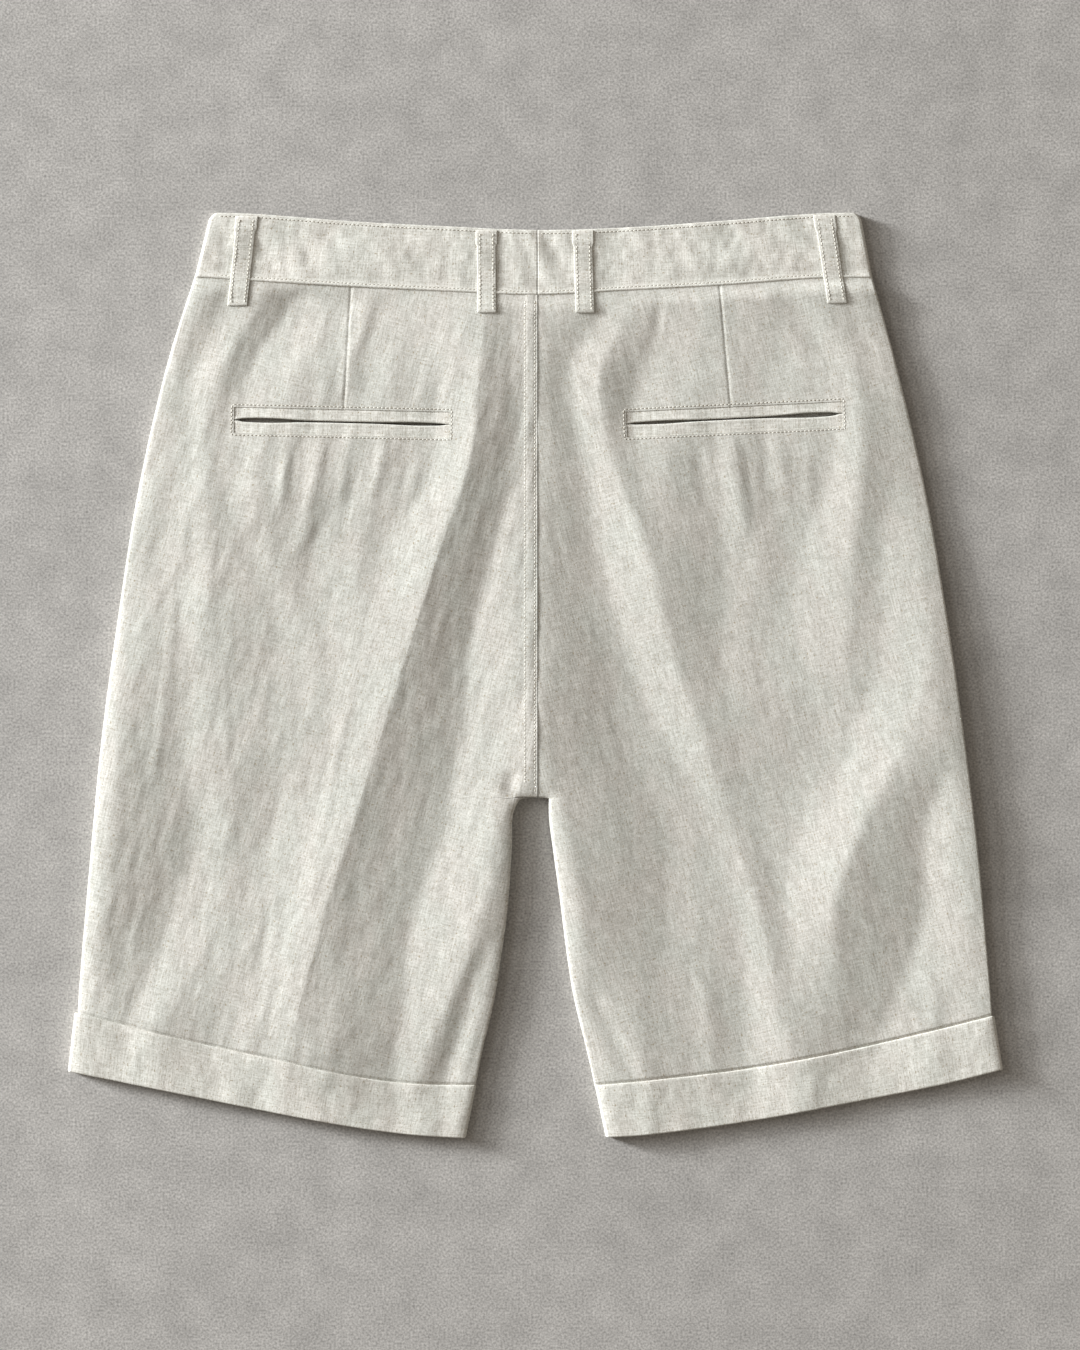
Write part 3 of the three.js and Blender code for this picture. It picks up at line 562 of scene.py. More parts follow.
def main_folds(side, x, y):
    """Chain of flanks: sum over corners of (lean - lean before) * soft_ramp(x - corner's x).

    The chain hangs on the pivot: its height there is taken away and the pivot's rise is added.
    """
    level = np.clip(y, *FOLD_ENDS)
    pivot = curve(LEVELS, PIVOT[side], level)
    levelling = curve(LEVELS, LEVELLING[side], level) / 100
    chain = levelling * (x - pivot)
    place, before = np.full_like(level, -1e6), 0.0
    for flank in FLANKS[side]:
        place = np.maximum(curve(LEVELS, flank["x"], level), place + CLOSEST_CORNERS)
        lean = curve(LEVELS, flank["lean"], level) / 100
        corner = flank.get("corner", CORNER)
        rise = soft_ramp(x - place, corner) - soft_ramp(pivot - place, corner)
        chain = chain + (lean - before) * rise
        before = lean
    return chain + curve(LEVELS, PIVOT_RISE[side], level)


for side in SIDES:
    for level in LEVELS.astype(float):
        x = np.linspace(inner_x(side, min(level, CROTCH_Y)), outer_x(side, level), 200)
        rises = main_folds(side, x, np.full_like(x, level))
        print(side, level, "rises", round(float(rises.min()), 1), "to", round(float(rises.max()), 1))

# %% [markdown]
# ## Small folds
# Between the long folds lie short ones: strains that fan out under the pockets, dimples at the loops,
# ripples beside the inner leg. Each is one raised cosine that follows its own path and dies away at
# both ends. A negative rise is a trough. The left and right widths differ, because a fold that was
# pushed over has one steep side.

# %% Small folds
# top, bottom, x at even steps between, rise, left width, right width
SMALL_FOLDS = {
    "left": [
        (262, 178, [-104, -110, -119, -122], 0.4, 9, 8),
        (215, 166, [-132, -136, -140], 0.4, 8, 8),
        (232, 172, [-84, -92, -98], 0.18, 8, 8),
        (163, 96, [-160, -163, -168], 0.55, 6, 6),
        (163, 66, [-139, -143, -149, -158], 0.65, 9, 10),
        (163, 104, [-120, -124, -130], 0.5, 6, 6),
        (163, 98, [-97, -102, -110], 0.6, 7, 7),
        (152, 90, [-73, -80, -92], 0.35, 8, 7),
        (112, 48, [-222, -224, -226], -0.14, 5, 5),
        (62, -76, [-234, -240, -250], 0.3, 6, 7),
        (10, -92, [-201, -200, -196], 0.15, 5, 5),
        (2, -84, [-118, -126, -138], 0.3, 6, 5),
        (-120, -205, [-172, -176, -182], -0.3, 6, 6),
        (-188, -264, [-126, -131, -137], 0.25, 8, 8),
        (-165, -310, [-27, -40, -51, -61, -69], -0.5, 11, 10),
        (-150, -206, [-256, -262], 0.3, 8, 8),
        (-58, -84, [-15, -17], -1.4, 8, 7),
    ],
    "right": [
        (262, 205, [84, 80, 74], -0.35, 7, 6),
        (164, 82, [127, 130, 134, 139], 0.75, 13, 9),
        (162, 104, [104, 107, 112], -0.4, 7, 7),
        (166, 120, [148, 150, 152], -0.25, 6, 6),
        (164, 96, [158, 159, 162, 166], 0.3, 8, 6),
        (60, -20, [141, 144, 150], -0.15, 5, 6),
        (150, 96, [176, 178, 180], 0.25, 6, 6),
        (-178, -275, [108, 112, 117], 0.5, 11, 13),
        (-188, -306, [30, 42, 57, 74, 88], -0.55, 10, 10),
        (-185, -246, [255, 258, 260], 0.2, 8, 8),
    ],
}
FOLD_TAPER = 26.0
CRUMPLES = {"left": 1.15, "right": 0.6}
# Degrees from y to the grain, and random hills: rise, size across and along the grain, seed
GRAIN_TURN = {"left": 15.0, "right": -15.0}
HILLS = [(0.20, 13.0, 40.0, 3), (0.135, 5.2, 17.0, 5), (0.045, 2.4, 7.5, 8)]
LATTICE = 256


def small_folds(side, x, y):
    """Sum of rise * taper(y) * (1 + cos(pi * distance / width)) / 2 over the table."""
    total = np.zeros_like(x)
    for top, bottom, path, rise, left, right in SMALL_FOLDS[side]:
        middle = curve(np.linspace(top, bottom, len(path)), path, np.clip(y, bottom, top))
        reach = np.abs(x - middle) / np.where(x < middle, left, right)
        fade = min(FOLD_TAPER, 0.45 * (top - bottom))
        taper = ease((top - y) / fade) * ease((y - bottom) / fade)
        total += rise * taper * (0.5 + 0.5 * np.cos(np.pi * np.clip(reach, 0, 1)))
    return total


def grain(side, x, y):
    """x and y turned so that v runs along the grain of the cloth, which follows the crease."""
    turn = math.radians(GRAIN_TURN[side])
    return x * math.cos(turn) - y * math.sin(turn), x * math.sin(turn) + y * math.cos(turn)


def random_hills(u, v, across, along, seed):
    """Random heights from -1 to 1 on a lattice of `across` by `along` mm, eased in between."""
    heights = np.random.default_rng(seed).uniform(-1, 1, (LATTICE, LATTICE))
    i, j = np.floor(u / across).astype(int), np.floor(v / along).astype(int)
    s, t = ease(u / across - i), ease(v / along - j)
    left, right = i % LATTICE, (i + 1) % LATTICE
    below, above = j % LATTICE, (j + 1) % LATTICE
    low = heights[left, below] * (1 - s) + heights[right, below] * s
    high = heights[left, above] * (1 - s) + heights[right, above] * s
    return low * (1 - t) + high * t


def crumples(side, x, y):
    """Three sizes of random hills, all longer along the grain than across it."""
    u, v = grain(side, x, y)
    return CRUMPLES[side] * sum(rise * random_hills(u, v, *rest) for rise, *rest in HILLS)


print("small folds:", {side: len(SMALL_FOLDS[side]) for side in SIDES})

# %% [markdown]
# ## Height of the back panels
# The two sets of folds are added, calmed where the panel is sewn to the waistband and where the cuff
# holds it, and rounded off at the leg's edges, where the cloth turns down to meet the front. The
# lapped centre back seam stands up by the thickness of its extra layers, each dart pulls a narrow
# groove, and the leg dips a little where it runs in under the cuff, which is a thin dark line there.

# %% Height function
WAIST_FADE = 11.0
CUFF_FADE = 14.0
GUTTER_DEPTH = 0.9
GUTTER_WIDTH = 2.2
CUFF_KEEP = 0.75
EDGE_TURN = 0.65
EDGE_SHOULDER = 18.0
SHOULDER_SHARES = {
    "left": {"outer": 0.46, "inner": 0.30},
    "right": {"outer": 0.16, "inner": 0.30},
}
# The inner leg's edge is this much tighter than the outer one
INNER_TIGHTER = 1.3
# Share of the folds that is left at the waist seam
SEAM_KEEP = 0.06
# Heights below LOWEST_BACK are bent back to it within about this many mm
FLOOR_SOFTNESS = 0.35
BAND_LEVEL = 5.4
BAND_SIDE_DROP = 0.5
BAND_HALF_WIDTH = 210.0
BAND_STEP = -0.15
# Distance below the seam over which the panels leave the band's level
LEVEL_FADE = 60.0
DART_DEPTH = 0.3
DART_HALF_WIDTH = 0.9
DART_POINT_Y = 160.0
DART_FADE = 20.0
# Lapped centre back seam: its extra layers, their soft outer edge, and the line sewn along them
FELL_WIDTH = 8.8
FELL_RISE = 0.3
FELL_EDGE = 2.4
FELL_FADE = 3.0
FELL_LINE_X = 1.6
FELL_LINE_DEPTH = 0.15
FELL_LINE_HALF_WIDTH = 0.9

# Dart lines: y, x
DARTS = {
    "left": np.array([[262, -118.0], [251.9, -119.9], [173.9, -124.5], [164.8, -126.4]]),
    "right": np.array([[262, 118.6], [253.2, 119.6], [175.8, 126.8], [168.3, 127.5]]),
}


def band_level(x):
    """Level of the band without its waves: BAND_LEVEL - drop * (x / half width)^2."""
    return BAND_LEVEL - BAND_SIDE_DROP * (x / BAND_HALF_WIDTH) ** 2


def quarter_round(distance, radius):
    """0 at an edge, 1 beyond the radius, along a quarter circle between."""
    d = 1 - np.clip(distance / radius, 0, 1)
    return np.sqrt(1 - d * d)


def edge_profile(distance, shoulder):
    """Two quarter circles added: a tight one where the cloth turns under, and a wide shoulder."""
    turn = (1 - shoulder) * quarter_round(distance, EDGE_TURN)
    return turn + shoulder * quarter_round(distance, EDGE_SHOULDER)


def inside_distance(side, x, y):
    """Distance from the leg's inner edge, or above it from the crotch's lower edge."""
    corner = abs(INNER_EDGE[side][0, 1])
    above = np.hypot(np.maximum(np.abs(x) - corner, 0), y - CROTCH_Y)
    return np.where(y < CROTCH_Y, np.abs(x - inner_x(side, y)), above)


def back_height(side, x, y):
    """Upper face of a back panel in mm above the floor.

    level + folds, kept above LOWEST_BACK by soft * ln(1 + e^(height / soft)), times the profiles of
    both edges, less the dart's groove and the cuff's gutter, plus the layers of the lapped seam.
    """
    x, y = np.asarray(x, float), np.asarray(y, float)
    folds = main_folds(side, x, y) + small_folds(side, x, y) + crumples(side, x, y)
    near_waist = SEAM_KEEP + (1 - SEAM_KEEP) * ease((seam_y(x) - y) / WAIST_FADE)
    near_cuff = CUFF_KEEP + (1 - CUFF_KEEP) * ease((y - cuff_top_y(side, x)) / CUFF_FADE)
    at_seam = band_level(x) - BAND_STEP
    level = at_seam + (MIDDLE_BACK - at_seam) * ease((seam_y(x) - y) / LEVEL_FADE)
    raw = level + folds * near_waist * near_cuff - LOWEST_BACK
    above = FLOOR_SOFTNESS * np.logaddexp(0, raw / FLOOR_SOFTNESS)
    shares = SHOULDER_SHARES[side]
    above *= edge_profile(np.abs(x - outer_x(side, y)), shares["outer"])
    above *= edge_profile(inside_distance(side, x, y) * INNER_TIGHTER, shares["inner"])
    height = LOWEST_BACK + above
    from_dart = (x - curve(*DARTS[side].T, y)) / DART_HALF_WIDTH
    height -= DART_DEPTH * ease((y - DART_POINT_Y) / DART_FADE) * np.exp(-(from_dart**2))
    height -= GUTTER_DEPTH * (1 - ease((y - cuff_top_y(side, x)) / GUTTER_WIDTH))
    if side == "left":
        from_seam = x - BACK_SEAM_X
        lapped = ease((from_seam + FELL_WIDTH) / FELL_EDGE) * ease((y - CROTCH_Y) / FELL_FADE)
        line = np.exp(-(((from_seam + FELL_LINE_X) / FELL_LINE_HALF_WIDTH) ** 2))
        height += lapped * (FELL_RISE - FELL_LINE_DEPTH * line)
    return height


print("back is", round(float(back_height("left", -88.0, 0.0)), 1), "mm high at a crease")

# %% [markdown]
# ## From a grid of points to cloth
# A surface on a grid needs only its points: the faces follow from the numbering. The same helper
# closes a ring of columns into a tube for folded strips. The UV map holds real distances along and
# across the cloth, so that the weave has one scale everywhere. Solidify then gives a panel its
# thickness, downwards from the face that shows.

# %% Mesh helpers
# Extra places beside the end of a grid, as shares of its width
CLOSE_PLACES = np.array([0.003, 0.009, 0.018, 0.03])


def finish_piece(name, mesh):
    """Object of a mesh: smooth, riding on the root body."""
    mesh.polygons.foreach_set("use_smooth", np.ones(len(mesh.polygons), bool))
    mesh.update()
    piece = bpy.data.objects.new(name, mesh)
    bpy.context.scene.collection.objects.link(piece)
    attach(piece, "root")
    return piece


def surface(name, points, uv, material, closed=False, capped=False):
    """Object from points (rows, columns, 3) in mm; uv has one more column when closed."""
    rows, columns = points.shape[:2]
    last_column = columns if closed else columns - 1
    i, j = np.meshgrid(np.arange(rows - 1), np.arange(last_column), indexing="ij")
    i, j = i.ravel(), j.ravel()
    here, below, after = i * columns, (i + 1) * columns, (j + 1) % columns
    quads = np.stack([here + j, below + j, below + after, here + after], axis=1)
    corners = np.stack([uv[i, j], uv[i + 1, j], uv[i + 1, j + 1], uv[i, j + 1]], axis=1)
    corners = corners.reshape(-1, 2)
    faces = quads.tolist()
    if capped:
        first, last = np.arange(columns), (rows - 1) * columns + np.arange(columns)
        faces += [first.tolist(), last[::-1].tolist()]
        corners = np.concatenate([corners, uv[0, :columns], uv[-1, :columns][::-1]])
    mesh = bpy.data.meshes.new(name)
    mesh.from_pydata((points.reshape(-1, 3) * MM).tolist(), [], faces)
    layer = mesh.uv_layers.new(name="cloth")
    layer.data.foreach_set("uv", (corners * MM).ravel())
    mesh.materials.append(material)
    return finish_piece(name, mesh)


def thicken(piece, thickness):
    """Solidify downwards from the upper face."""
    modifier = piece.modifiers.new("thickness", "SOLIDIFY")
    modifier.thickness = thickness * MM
    modifier.offset = -1
    modifier.use_even_offset = False


def fine_ends(count, ends):
    """0 to 1 in `count` even steps, with extra places close to each listed end."""
    parts = [np.linspace(0, 1, count + 1)]
    if "start" in ends:
        parts.append(CLOSE_PLACES)
    if "end" in ends:
        parts.append(1 - CLOSE_PLACES)
    return np.unique(np.concatenate(parts))


def patch(start, end, top, low, shares, down):
    """Coons patch: blends two side curves and two end curves, less their corners twice counted."""
    u, v = shares[None, :, None], down[:, None, None]
    corners = (
        (1 - u) * (1 - v) * top[0] + u * (1 - v) * top[-1] + (1 - u) * v * low[0] + u * v * low[-1]
    )
    sides = (1 - u) * start[:, None] + u * end[:, None]
    return sides + (1 - v) * top[None] + v * low[None] - corners


print("helpers ready")

# %% [markdown]
# ## Back panels
# Each back is laid out as three patches side by side: from the outer edge to the dart, from the dart
# to the pressed crease, and from the crease to the centre seam and the inner leg. The grid's own
# lines then run along the dart and the crease, which keeps both crisp. The window for the pocket is
# cut afterwards, straight through, like the maker's slash through the cloth. Its edges are marked
# sharp, or the shading would run smoothly over them and light the thin rim unevenly.

# %% Back panels
PANEL_ROWS = 250
PANEL_THICKNESS = 0.9
TUCK_UNDER = 2.5
# Share of a panel's rows that lies above the crotch
CROTCH_SHARE = 0.636
# x of the outer edge at the top, and the y where each line of the grid meets the top or the cuff
TOP_OUTER_X = 221.3
TOP_CREASE_Y = 250
LOW_Y = {"outer": -220, "crease": -250, "inner": -268}
# Patches of the grid, from the outer edge inwards: its two lines, columns, ends with close columns
PATCHES = [
    ("outer", "dart", 62, ("start", "end")),
    ("dart", "crease", 44, ("start",)),
    ("crease", "inner", 52, ("start", "end")),
]
# Faces this close to the window's edge are taken into its cuts
CUT_MARGIN = 4.0
POCKETS = {
    "left": dict(x0=-196.0, y0=166.1, x1=-56.0, y1=162.8, above=8.4, below=8.4),
    "right": dict(x0=59.0, y0=163.4, x1=199.2, y1=170.1, above=8.0, below=8.6),
}
# The grid's line along the dart goes on down the leg: y, x
DART_LINE = {
    "left": np.vstack([DARTS["left"], [[80, -160], [0, -182], [-100, -203], [-235, -226]]]),
    "right": np.vstack([DARTS["right"], [[80, 148], [0, 170], [-100, 200], [-235, 226]]]),
}


def panel_rows():
    """Shares of the way down, with close rows just above and below the crotch and at the cuff."""
    above = int(PANEL_ROWS * CROTCH_SHARE)
    return np.concatenate([
        np.linspace(0, CROTCH_SHARE - 0.002, above),
        CROTCH_SHARE + np.array([-0.001, 0, 0.0008, 0.0016, 0.003]),
        np.linspace(CROTCH_SHARE, 0.985, PANEL_ROWS - above)[1:],
        np.linspace(0.987, 1, 14),
    ])


def top_y(x):
    """y of a panel's upper end, tucked under the band."""
    return seam_y(x) + TUCK_UNDER


def low_y(side, x):
    """y of a panel's lower end, tucked under the cuff."""
    return cuff_top_y(side, x) - TUCK_UNDER


def grid_lines(side, down):
    """Points down the grid's four lines, from the outer edge to the inner one."""
    seam_x = BACK_SEAM_X + SIGN[side] * SEAM_GAP / 2
    dart = DART_LINE[side]
    # Each line: x at any y, x at the top, x at the cuff
    lines = {
        "outer": (lambda y: outer_x(side, y), TOP_OUTER_X * SIGN[side], outer_x(side, LOW_Y["outer"])),
        "dart": (lambda y: curve(*dart.T, y), dart[0, 1], dart[-1, 1]),
        "crease": (
            lambda y: crease_x(side, y), crease_x(side, TOP_CREASE_Y), crease_x(side, LOW_Y["crease"]),
        ),
    }
    points = {}
    for name, (x_at, top_x, low_x) in lines.items():
        y = top_y(top_x) + (low_y(side, low_x) - top_y(top_x)) * down
        points[name] = np.stack([x_at(y), y], axis=-1)
    start, stop = top_y(seam_x), low_y(side, inner_x(side, LOW_Y["inner"]))
    on_seam = down <= CROTCH_SHARE
    y = np.where(
        on_seam, start + (CROTCH_Y - start) * down / CROTCH_SHARE,
        CROTCH_Y + (stop - CROTCH_Y) * (down - CROTCH_SHARE) / (1 - CROTCH_SHARE),
    )
    points["inner"] = np.stack([np.where(on_seam, seam_x, inner_x(side, y)), y], axis=-1)
    return points


def panel_places(side):
    """x and y of every grid point of one back, columns from left to right."""
    down = panel_rows()
    lines = grid_lines(side, down)
    strips = []
    for first, last, count, fine in PATCHES:
        shares = fine_ends(count, fine)
        start, end = lines[first], lines[last]
        top_x = start[0, 0] + (end[0, 0] - start[0, 0]) * shares
        low_x = start[-1, 0] + (end[-1, 0] - start[-1, 0]) * shares
        top = np.stack([top_x, top_y(top_x)], axis=-1)
        low = np.stack([low_x, low_y(side, low_x)], axis=-1)
        strip = patch(start, end, top, low, shares, down)
        strips.append(strip if not strips else strip[:, 1:])
    grid = np.concatenate(strips, axis=1)
    return grid if side == "left" else grid[:, ::-1]


def cut_window(piece, side):
    """Cuts along the four sides of the pocket's window and takes the faces inside away."""
    pocket = POCKETS[side]
    a = np.array([pocket["x0"], pocket["y0"]])
    b = np.array([pocket["x1"], pocket["y1"]])
    length = np.linalg.norm(b - a)
    along = (b - a) / length
    up = np.array([-along[1], along[0]])
    middle = (a + b) / 2 + up * (pocket["above"] - pocket["below"]) / 2
    half = np.array([length / 2, (pocket["above"] + pocket["below"]) / 2])
    shape = bmesh.new()
    shape.from_mesh(piece.data)

    def faces_within(margin):
        """Faces whose middle is in the window, made larger by the margin."""
        faces = list(shape.faces)
        centres = np.array([face.calc_center_median()[:2] for face in faces]) / MM - middle
        reach = np.abs(np.stack([centres @ along, centres @ up], axis=1))
        return [faces[k] for k in np.flatnonzero((reach < half + margin).all(axis=1))]

    for axis, size in ((along, half[0]), (up, half[1])):
        for way in (-1, 1):
            near = faces_within(CUT_MARGIN)
            edges = {edge for face in near for edge in face.edges}
            corners = {corner for face in near for corner in face.verts}
            point = (middle + way * size * axis) * MM
            bmesh.ops.bisect_plane(
                shape, geom=near + list(edges) + list(corners), dist=1e-7,
                plane_co=(*point, 0), plane_no=(*axis, 0),
            )
    bmesh.ops.delete(shape, geom=faces_within(0.0), context="FACES")
    for edge in shape.edges:
        edge.smooth = not edge.is_boundary
    shape.to_mesh(piece.data)
    shape.free()
    piece.data.polygons.foreach_set("use_smooth", np.ones(len(piece.data.polygons), bool))


def back_panel(side):
    """A back panel: its plan from three patches, its height from the fold tables."""
    places = panel_places(side)
    x, y = places[..., 0], places[..., 1]
    points = np.stack([x, y, back_height(side, x, y)], axis=-1)
    uv = np.stack(grain(side, x, y), axis=-1)
    piece = surface(f"back_panel_{side}", points, uv, PANEL_LINEN_SHADED)
    cut_window(piece, side)
    thicken(piece, PANEL_THICKNESS)
    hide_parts(f"back_{side}")
    highest = round(float(points[..., 2].max()), 1)
    print(piece.name, len(piece.data.polygons), "faces,", highest, "mm high")


for side in SIDES:
    back_panel(side)

# %% [markdown]
# ## Front panels
# The fronts lie under the backs and rest on the floor. Only their edges show, so each is one plain
# smooth sheet with its rim bent up a little to meet the back at the side and inner seams.

# %% Front panels
FRONT_THICKNESS = 1.3
FRONT_LEVEL = 1.5
FRONT_EDGE_OUT = 0.2
FRONT_EDGE_POWER = 6
# Share of that below the crotch on the inner leg, and how far below it starts
FRONT_INNER_SHARE = 0.3
FRONT_INNER_START = 8.0
FRONT_LIP_RISE = 0.5
FRONT_LIP_POWER = 40
FRONT_WAIST_DIP = 12.0
FRONT_WAIST_HALF = 205.0
# The dip grows from this y over this distance
DIP_START_Y = 40.0
DIP_LENGTH = 200.0


def waist_dip(x):
    """The front waist is cut lower than the back: 12 mm at the centre, nothing at the sides."""
    return FRONT_WAIST_DIP * (1 - np.clip((x / FRONT_WAIST_HALF) ** 2, 0, 1))


def front_panel(side):
    """The back's plan, a little wider at the leg's edges, level but for a lip along both sides."""
    places = panel_places(side)[::3, ::4]
    x, y = places[..., 0].copy(), places[..., 1].copy()
    across = np.linspace(-1, 1, x.shape[1])[None, :]
    inner_leg = y < CROTCH_Y - FRONT_INNER_START
    outward = np.where(SIGN[side] * across > 0, 1, inner_leg * FRONT_INNER_SHARE)
    x += np.sign(across) * outward * FRONT_EDGE_OUT * np.abs(across) ** FRONT_EDGE_POWER
    y -= waist_dip(x) * ease((y - DIP_START_Y) / DIP_LENGTH)
    level = FRONT_LEVEL + FRONT_LIP_RISE * np.abs(across) ** FRONT_LIP_POWER
    points = np.stack([x, y, np.broadcast_to(level, x.shape)], axis=-1)
    uv = np.stack(grain(side, x, y), axis=-1)
    piece = surface(f"front_panel_{side}", points, uv, PANEL_LINEN_SHADED)
    thicken(piece, FRONT_THICKNESS)
    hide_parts(f"front_{side}")


for side in SIDES:
    front_panel(side)
print("fronts lie", FRONT_LEVEL, "mm high")

# %% [markdown]
# ## Strips folded from doubled cloth
# Waistband, cuffs, loops and welts are all the same thing to a maker: a strip folded so that its raw
# edges are inside. Seen across, it is a flat ring with round ends. So each is a closed section,
# carried along a path. The section is given by its share of the way down the strip and its depth
# from the outer to the inner face.

# %% Section of a folded strip
LIP_RISE = 0.42
LIP_SHARE = 0.032
# The lip's slope takes this share of it, with a point of the section before and one in the slope
LIP_SLOPE = 0.6
LIP_POINTS = np.array([1.0, 0.4])


def flat_ring(face_count, back_count, rim):
    """Shares and depths (0..1) round a flat ring, outer face first, round at both ends."""
    turn = np.radians([30, 60, 90, 120, 150])
    face = np.linspace(rim, 1 - rim, face_count)
    face[-3:-1] = 1 - rim - LIP_SHARE * LIP_POINTS
    back = np.linspace(1 - rim, rim, back_count)
    low_end = 1 - rim + rim * np.sin(turn)
    high_end = rim - rim * np.sin(turn)
    depth_turn = 0.5 - 0.5 * np.cos(turn)
    share = np.concatenate([face, low_end, back, high_end])
    depth = np.concatenate([np.zeros(face_count), depth_turn, np.ones(back_count), 1 - depth_turn])
    return share, depth


def lip(share, rim):
    """A pressed fold's edge is a little thicker than the strip: a short slope up, then level."""
    start = 1 - rim - LIP_SHARE
    return LIP_RISE * np.clip((share - start) / (LIP_SLOPE * LIP_SHARE), 0, 1)


def walked(path):
    """Distance walked along a path of points (n, k) at each of them, from 0."""
    return np.concatenate([[0], np.cumsum(np.linalg.norm(np.diff(path, axis=0), axis=1))])


def ring_uv(along, share, depth, width, thickness):
    """UV round the ring: along the path, and the distance walked round the section."""
    section = np.stack([np.append(share, share[0]) * width, np.append(depth, depth[0]) * thickness])
    u, v = np.meshgrid(along, walked(section.T), indexing="ij")
    return np.stack([u, v], axis=-1)


def waves(table, x, y):
    """Sum of rise * e^-((x - wave x)^2 / half length^2 + (y - wave y)^2 / half height^2)."""
    total = np.zeros_like(x)
    for wave_x, wave_y, rise, half_length, half_height in table:
        far = ((x - wave_x) / half_length) ** 2 + ((y - wave_y) / half_height) ** 2
        total = total + rise * np.exp(-far)
    return total


print("section has", len(flat_ring(20, 6, 0.03)[0]), "points")

# %% [markdown]
# ## Waistband
# The band is cut in two halves, joined at the centre back, and runs round each side to the front.
# From above only the back half shows. It is stiff, so it has no folds, only faint waves and a soft
# ridge on the right, where the cloth inside is bunched.

# %% Waistband
BAND_RIM = 0.02
BAND_RISE = 0.5
BAND_PUCKER = 0.5
PUCKER_FADE = 9.0
# Rounded corner at the top of the side: mm cut off, share of the height that it takes
BAND_CORNER = 3.0
CORNER_SHARE = 0.12
BAND_THICKNESS = 1.9
BAND_HEIGHT = 41.0
SIDE_TURN = 2.2
TURN_ANGLES = np.radians([75, 60, 45, 30, 15, 0, -15, -30, -45, -60, -75])
# x of the side at the top edge and at the seam
BAND_ENDS = {"left": (-211.4, -221.6), "right": (211.2, 219.2)}
# Waves of the band: x, y, rise, half length, half height
BAND_WAVES = [
    (128, 268, 0.7, 46, 7),
    (-172, 276, -0.6, 22, 14),
    (-98, 274, 0.45, 34, 12),
    (58, 262, -0.45, 26, 10),
    (-12, 280, 0.35, 14, 9),
    (14, 268, -0.3, 7, 14),
    (160, 284, 0.4, 20, 8),
    (-140, 262, 0.4, 30, 8),
]


def band_height(x, y):
    """Level and rise of the band plus its waves, and puckers that fade out at the seam."""
    x, y = np.asarray(x, float), np.asarray(y, float)
    puckers = random_hills(x + 0.5 * y, y, 10.0, 15.0, 21) + 0.4 * random_hills(x, y, 4.5, 7.0, 22)
    puckers *= BAND_PUCKER * ease((y - seam_y(x)) / PUCKER_FADE)
    return band_level(x) + BAND_RISE + waves(BAND_WAVES, x, y) + puckers


def flat_wall(x, y, outer, thickness, depth, sign):
    """A point of a wall that lies flat: outer height less (or plus) a share of its thickness."""
    return np.stack([x, y, outer - sign * thickness * depth], axis=-1)


def turned_wall(x, y, sign, top, thickness, angle, depth):
    """A point of a wall that turns round the side, on a half ellipse as high as the band."""
    across = SIDE_TURN - thickness * depth
    high = top / 2 - thickness * depth
    z = top / 2 + high * np.sin(angle)
    return np.stack([x + sign * across * np.cos(angle), y, z], axis=-1)


def waistband(side):
    """Half the band: flat over the back, round the side, flat under the front."""
    sign = SIGN[side]
    share, depth = flat_ring(26, 8, BAND_RIM)
    top_end, seam_end = BAND_ENDS[side]
    corner = BAND_CORNER * np.maximum(1 - share / CORNER_SHARE, 0) ** 2
    side_x = top_end + (seam_end - top_end) * share - sign * (SIDE_TURN + corner)

    def y_at(x):
        """y of each point of the section, from the top edge to the seam."""
        return waist_top_y(x) + (seam_y(x) - waist_top_y(x)) * share

    def top_at(x):
        """Height of each point of the section's outer face."""
        return band_height(x, y_at(x)) + lip(share, BAND_RIM)

    stations = []
    back, front = BACK_SEAM_X + sign * SEAM_GAP / 2, sign * SEAM_GAP / 2
    for part in fine_ends(110, ("start",)):
        x = back + (side_x - back) * part
        stations.append(flat_wall(x, y_at(x), top_at(x), BAND_THICKNESS, depth, 1))
    y, top = y_at(side_x), top_at(side_x)
    for angle in TURN_ANGLES:
        stations.append(turned_wall(side_x, y, sign, top, BAND_THICKNESS, angle, depth))
    for part in np.linspace(1, 0, 40):
        x = front + (side_x - front) * part
        floor = np.zeros_like(x)
        stations.append(flat_wall(x, y_at(x) - waist_dip(x), floor, BAND_THICKNESS, depth, -1))
    points = np.array(stations)
    along = walked(points[:, 12])
    uv = ring_uv(along, share, depth, BAND_HEIGHT, BAND_THICKNESS)
    if side == "right":
        points, uv = points[::-1], uv[::-1]
    piece = surface(f"waistband_half_{side}", points, uv, TRIM_LINEN, True, True)
    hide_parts(f"waistband_{side}")
    print(piece.name, "is", round(float(along[-1])), "mm long")


for side in SIDES:
    waistband(side)

# %% [markdown]
# ## Turned-up cuffs
# A cuff is a tube of doubled cloth round the end of the leg. Its upper edge lies free on the leg, so
# it stands proud of the panel and throws a thin line of shadow; its lower edge is a fold. It follows
# the leg's folds, more at the top than at the hem.

# %% Cuffs
# x of the outer end at the top and at the hem, and of the inner end at both
CUFF_ENDS = {"left": (-299.6, -304.0, -38.4, -45.4), "right": (298.4, 304.0, 38.5, 45.6)}
CUFF_THICKNESS = 1.7
CUFF_HEIGHT = 35.0
CUFF_LIFT = 0.65
# Share of the leg's folds that is left at the hem, how much lower the hem is, and how much sooner
# than the hem both are reached
CUFF_CALM = 0.45
HEM_DROP = 0.4
CALM_SPEED = 1.3
CUFF_PUCKER = 0.22
CUFF_SHOULDER = 0.8
CUFF_SHOULDER_WIDTH = 9.0
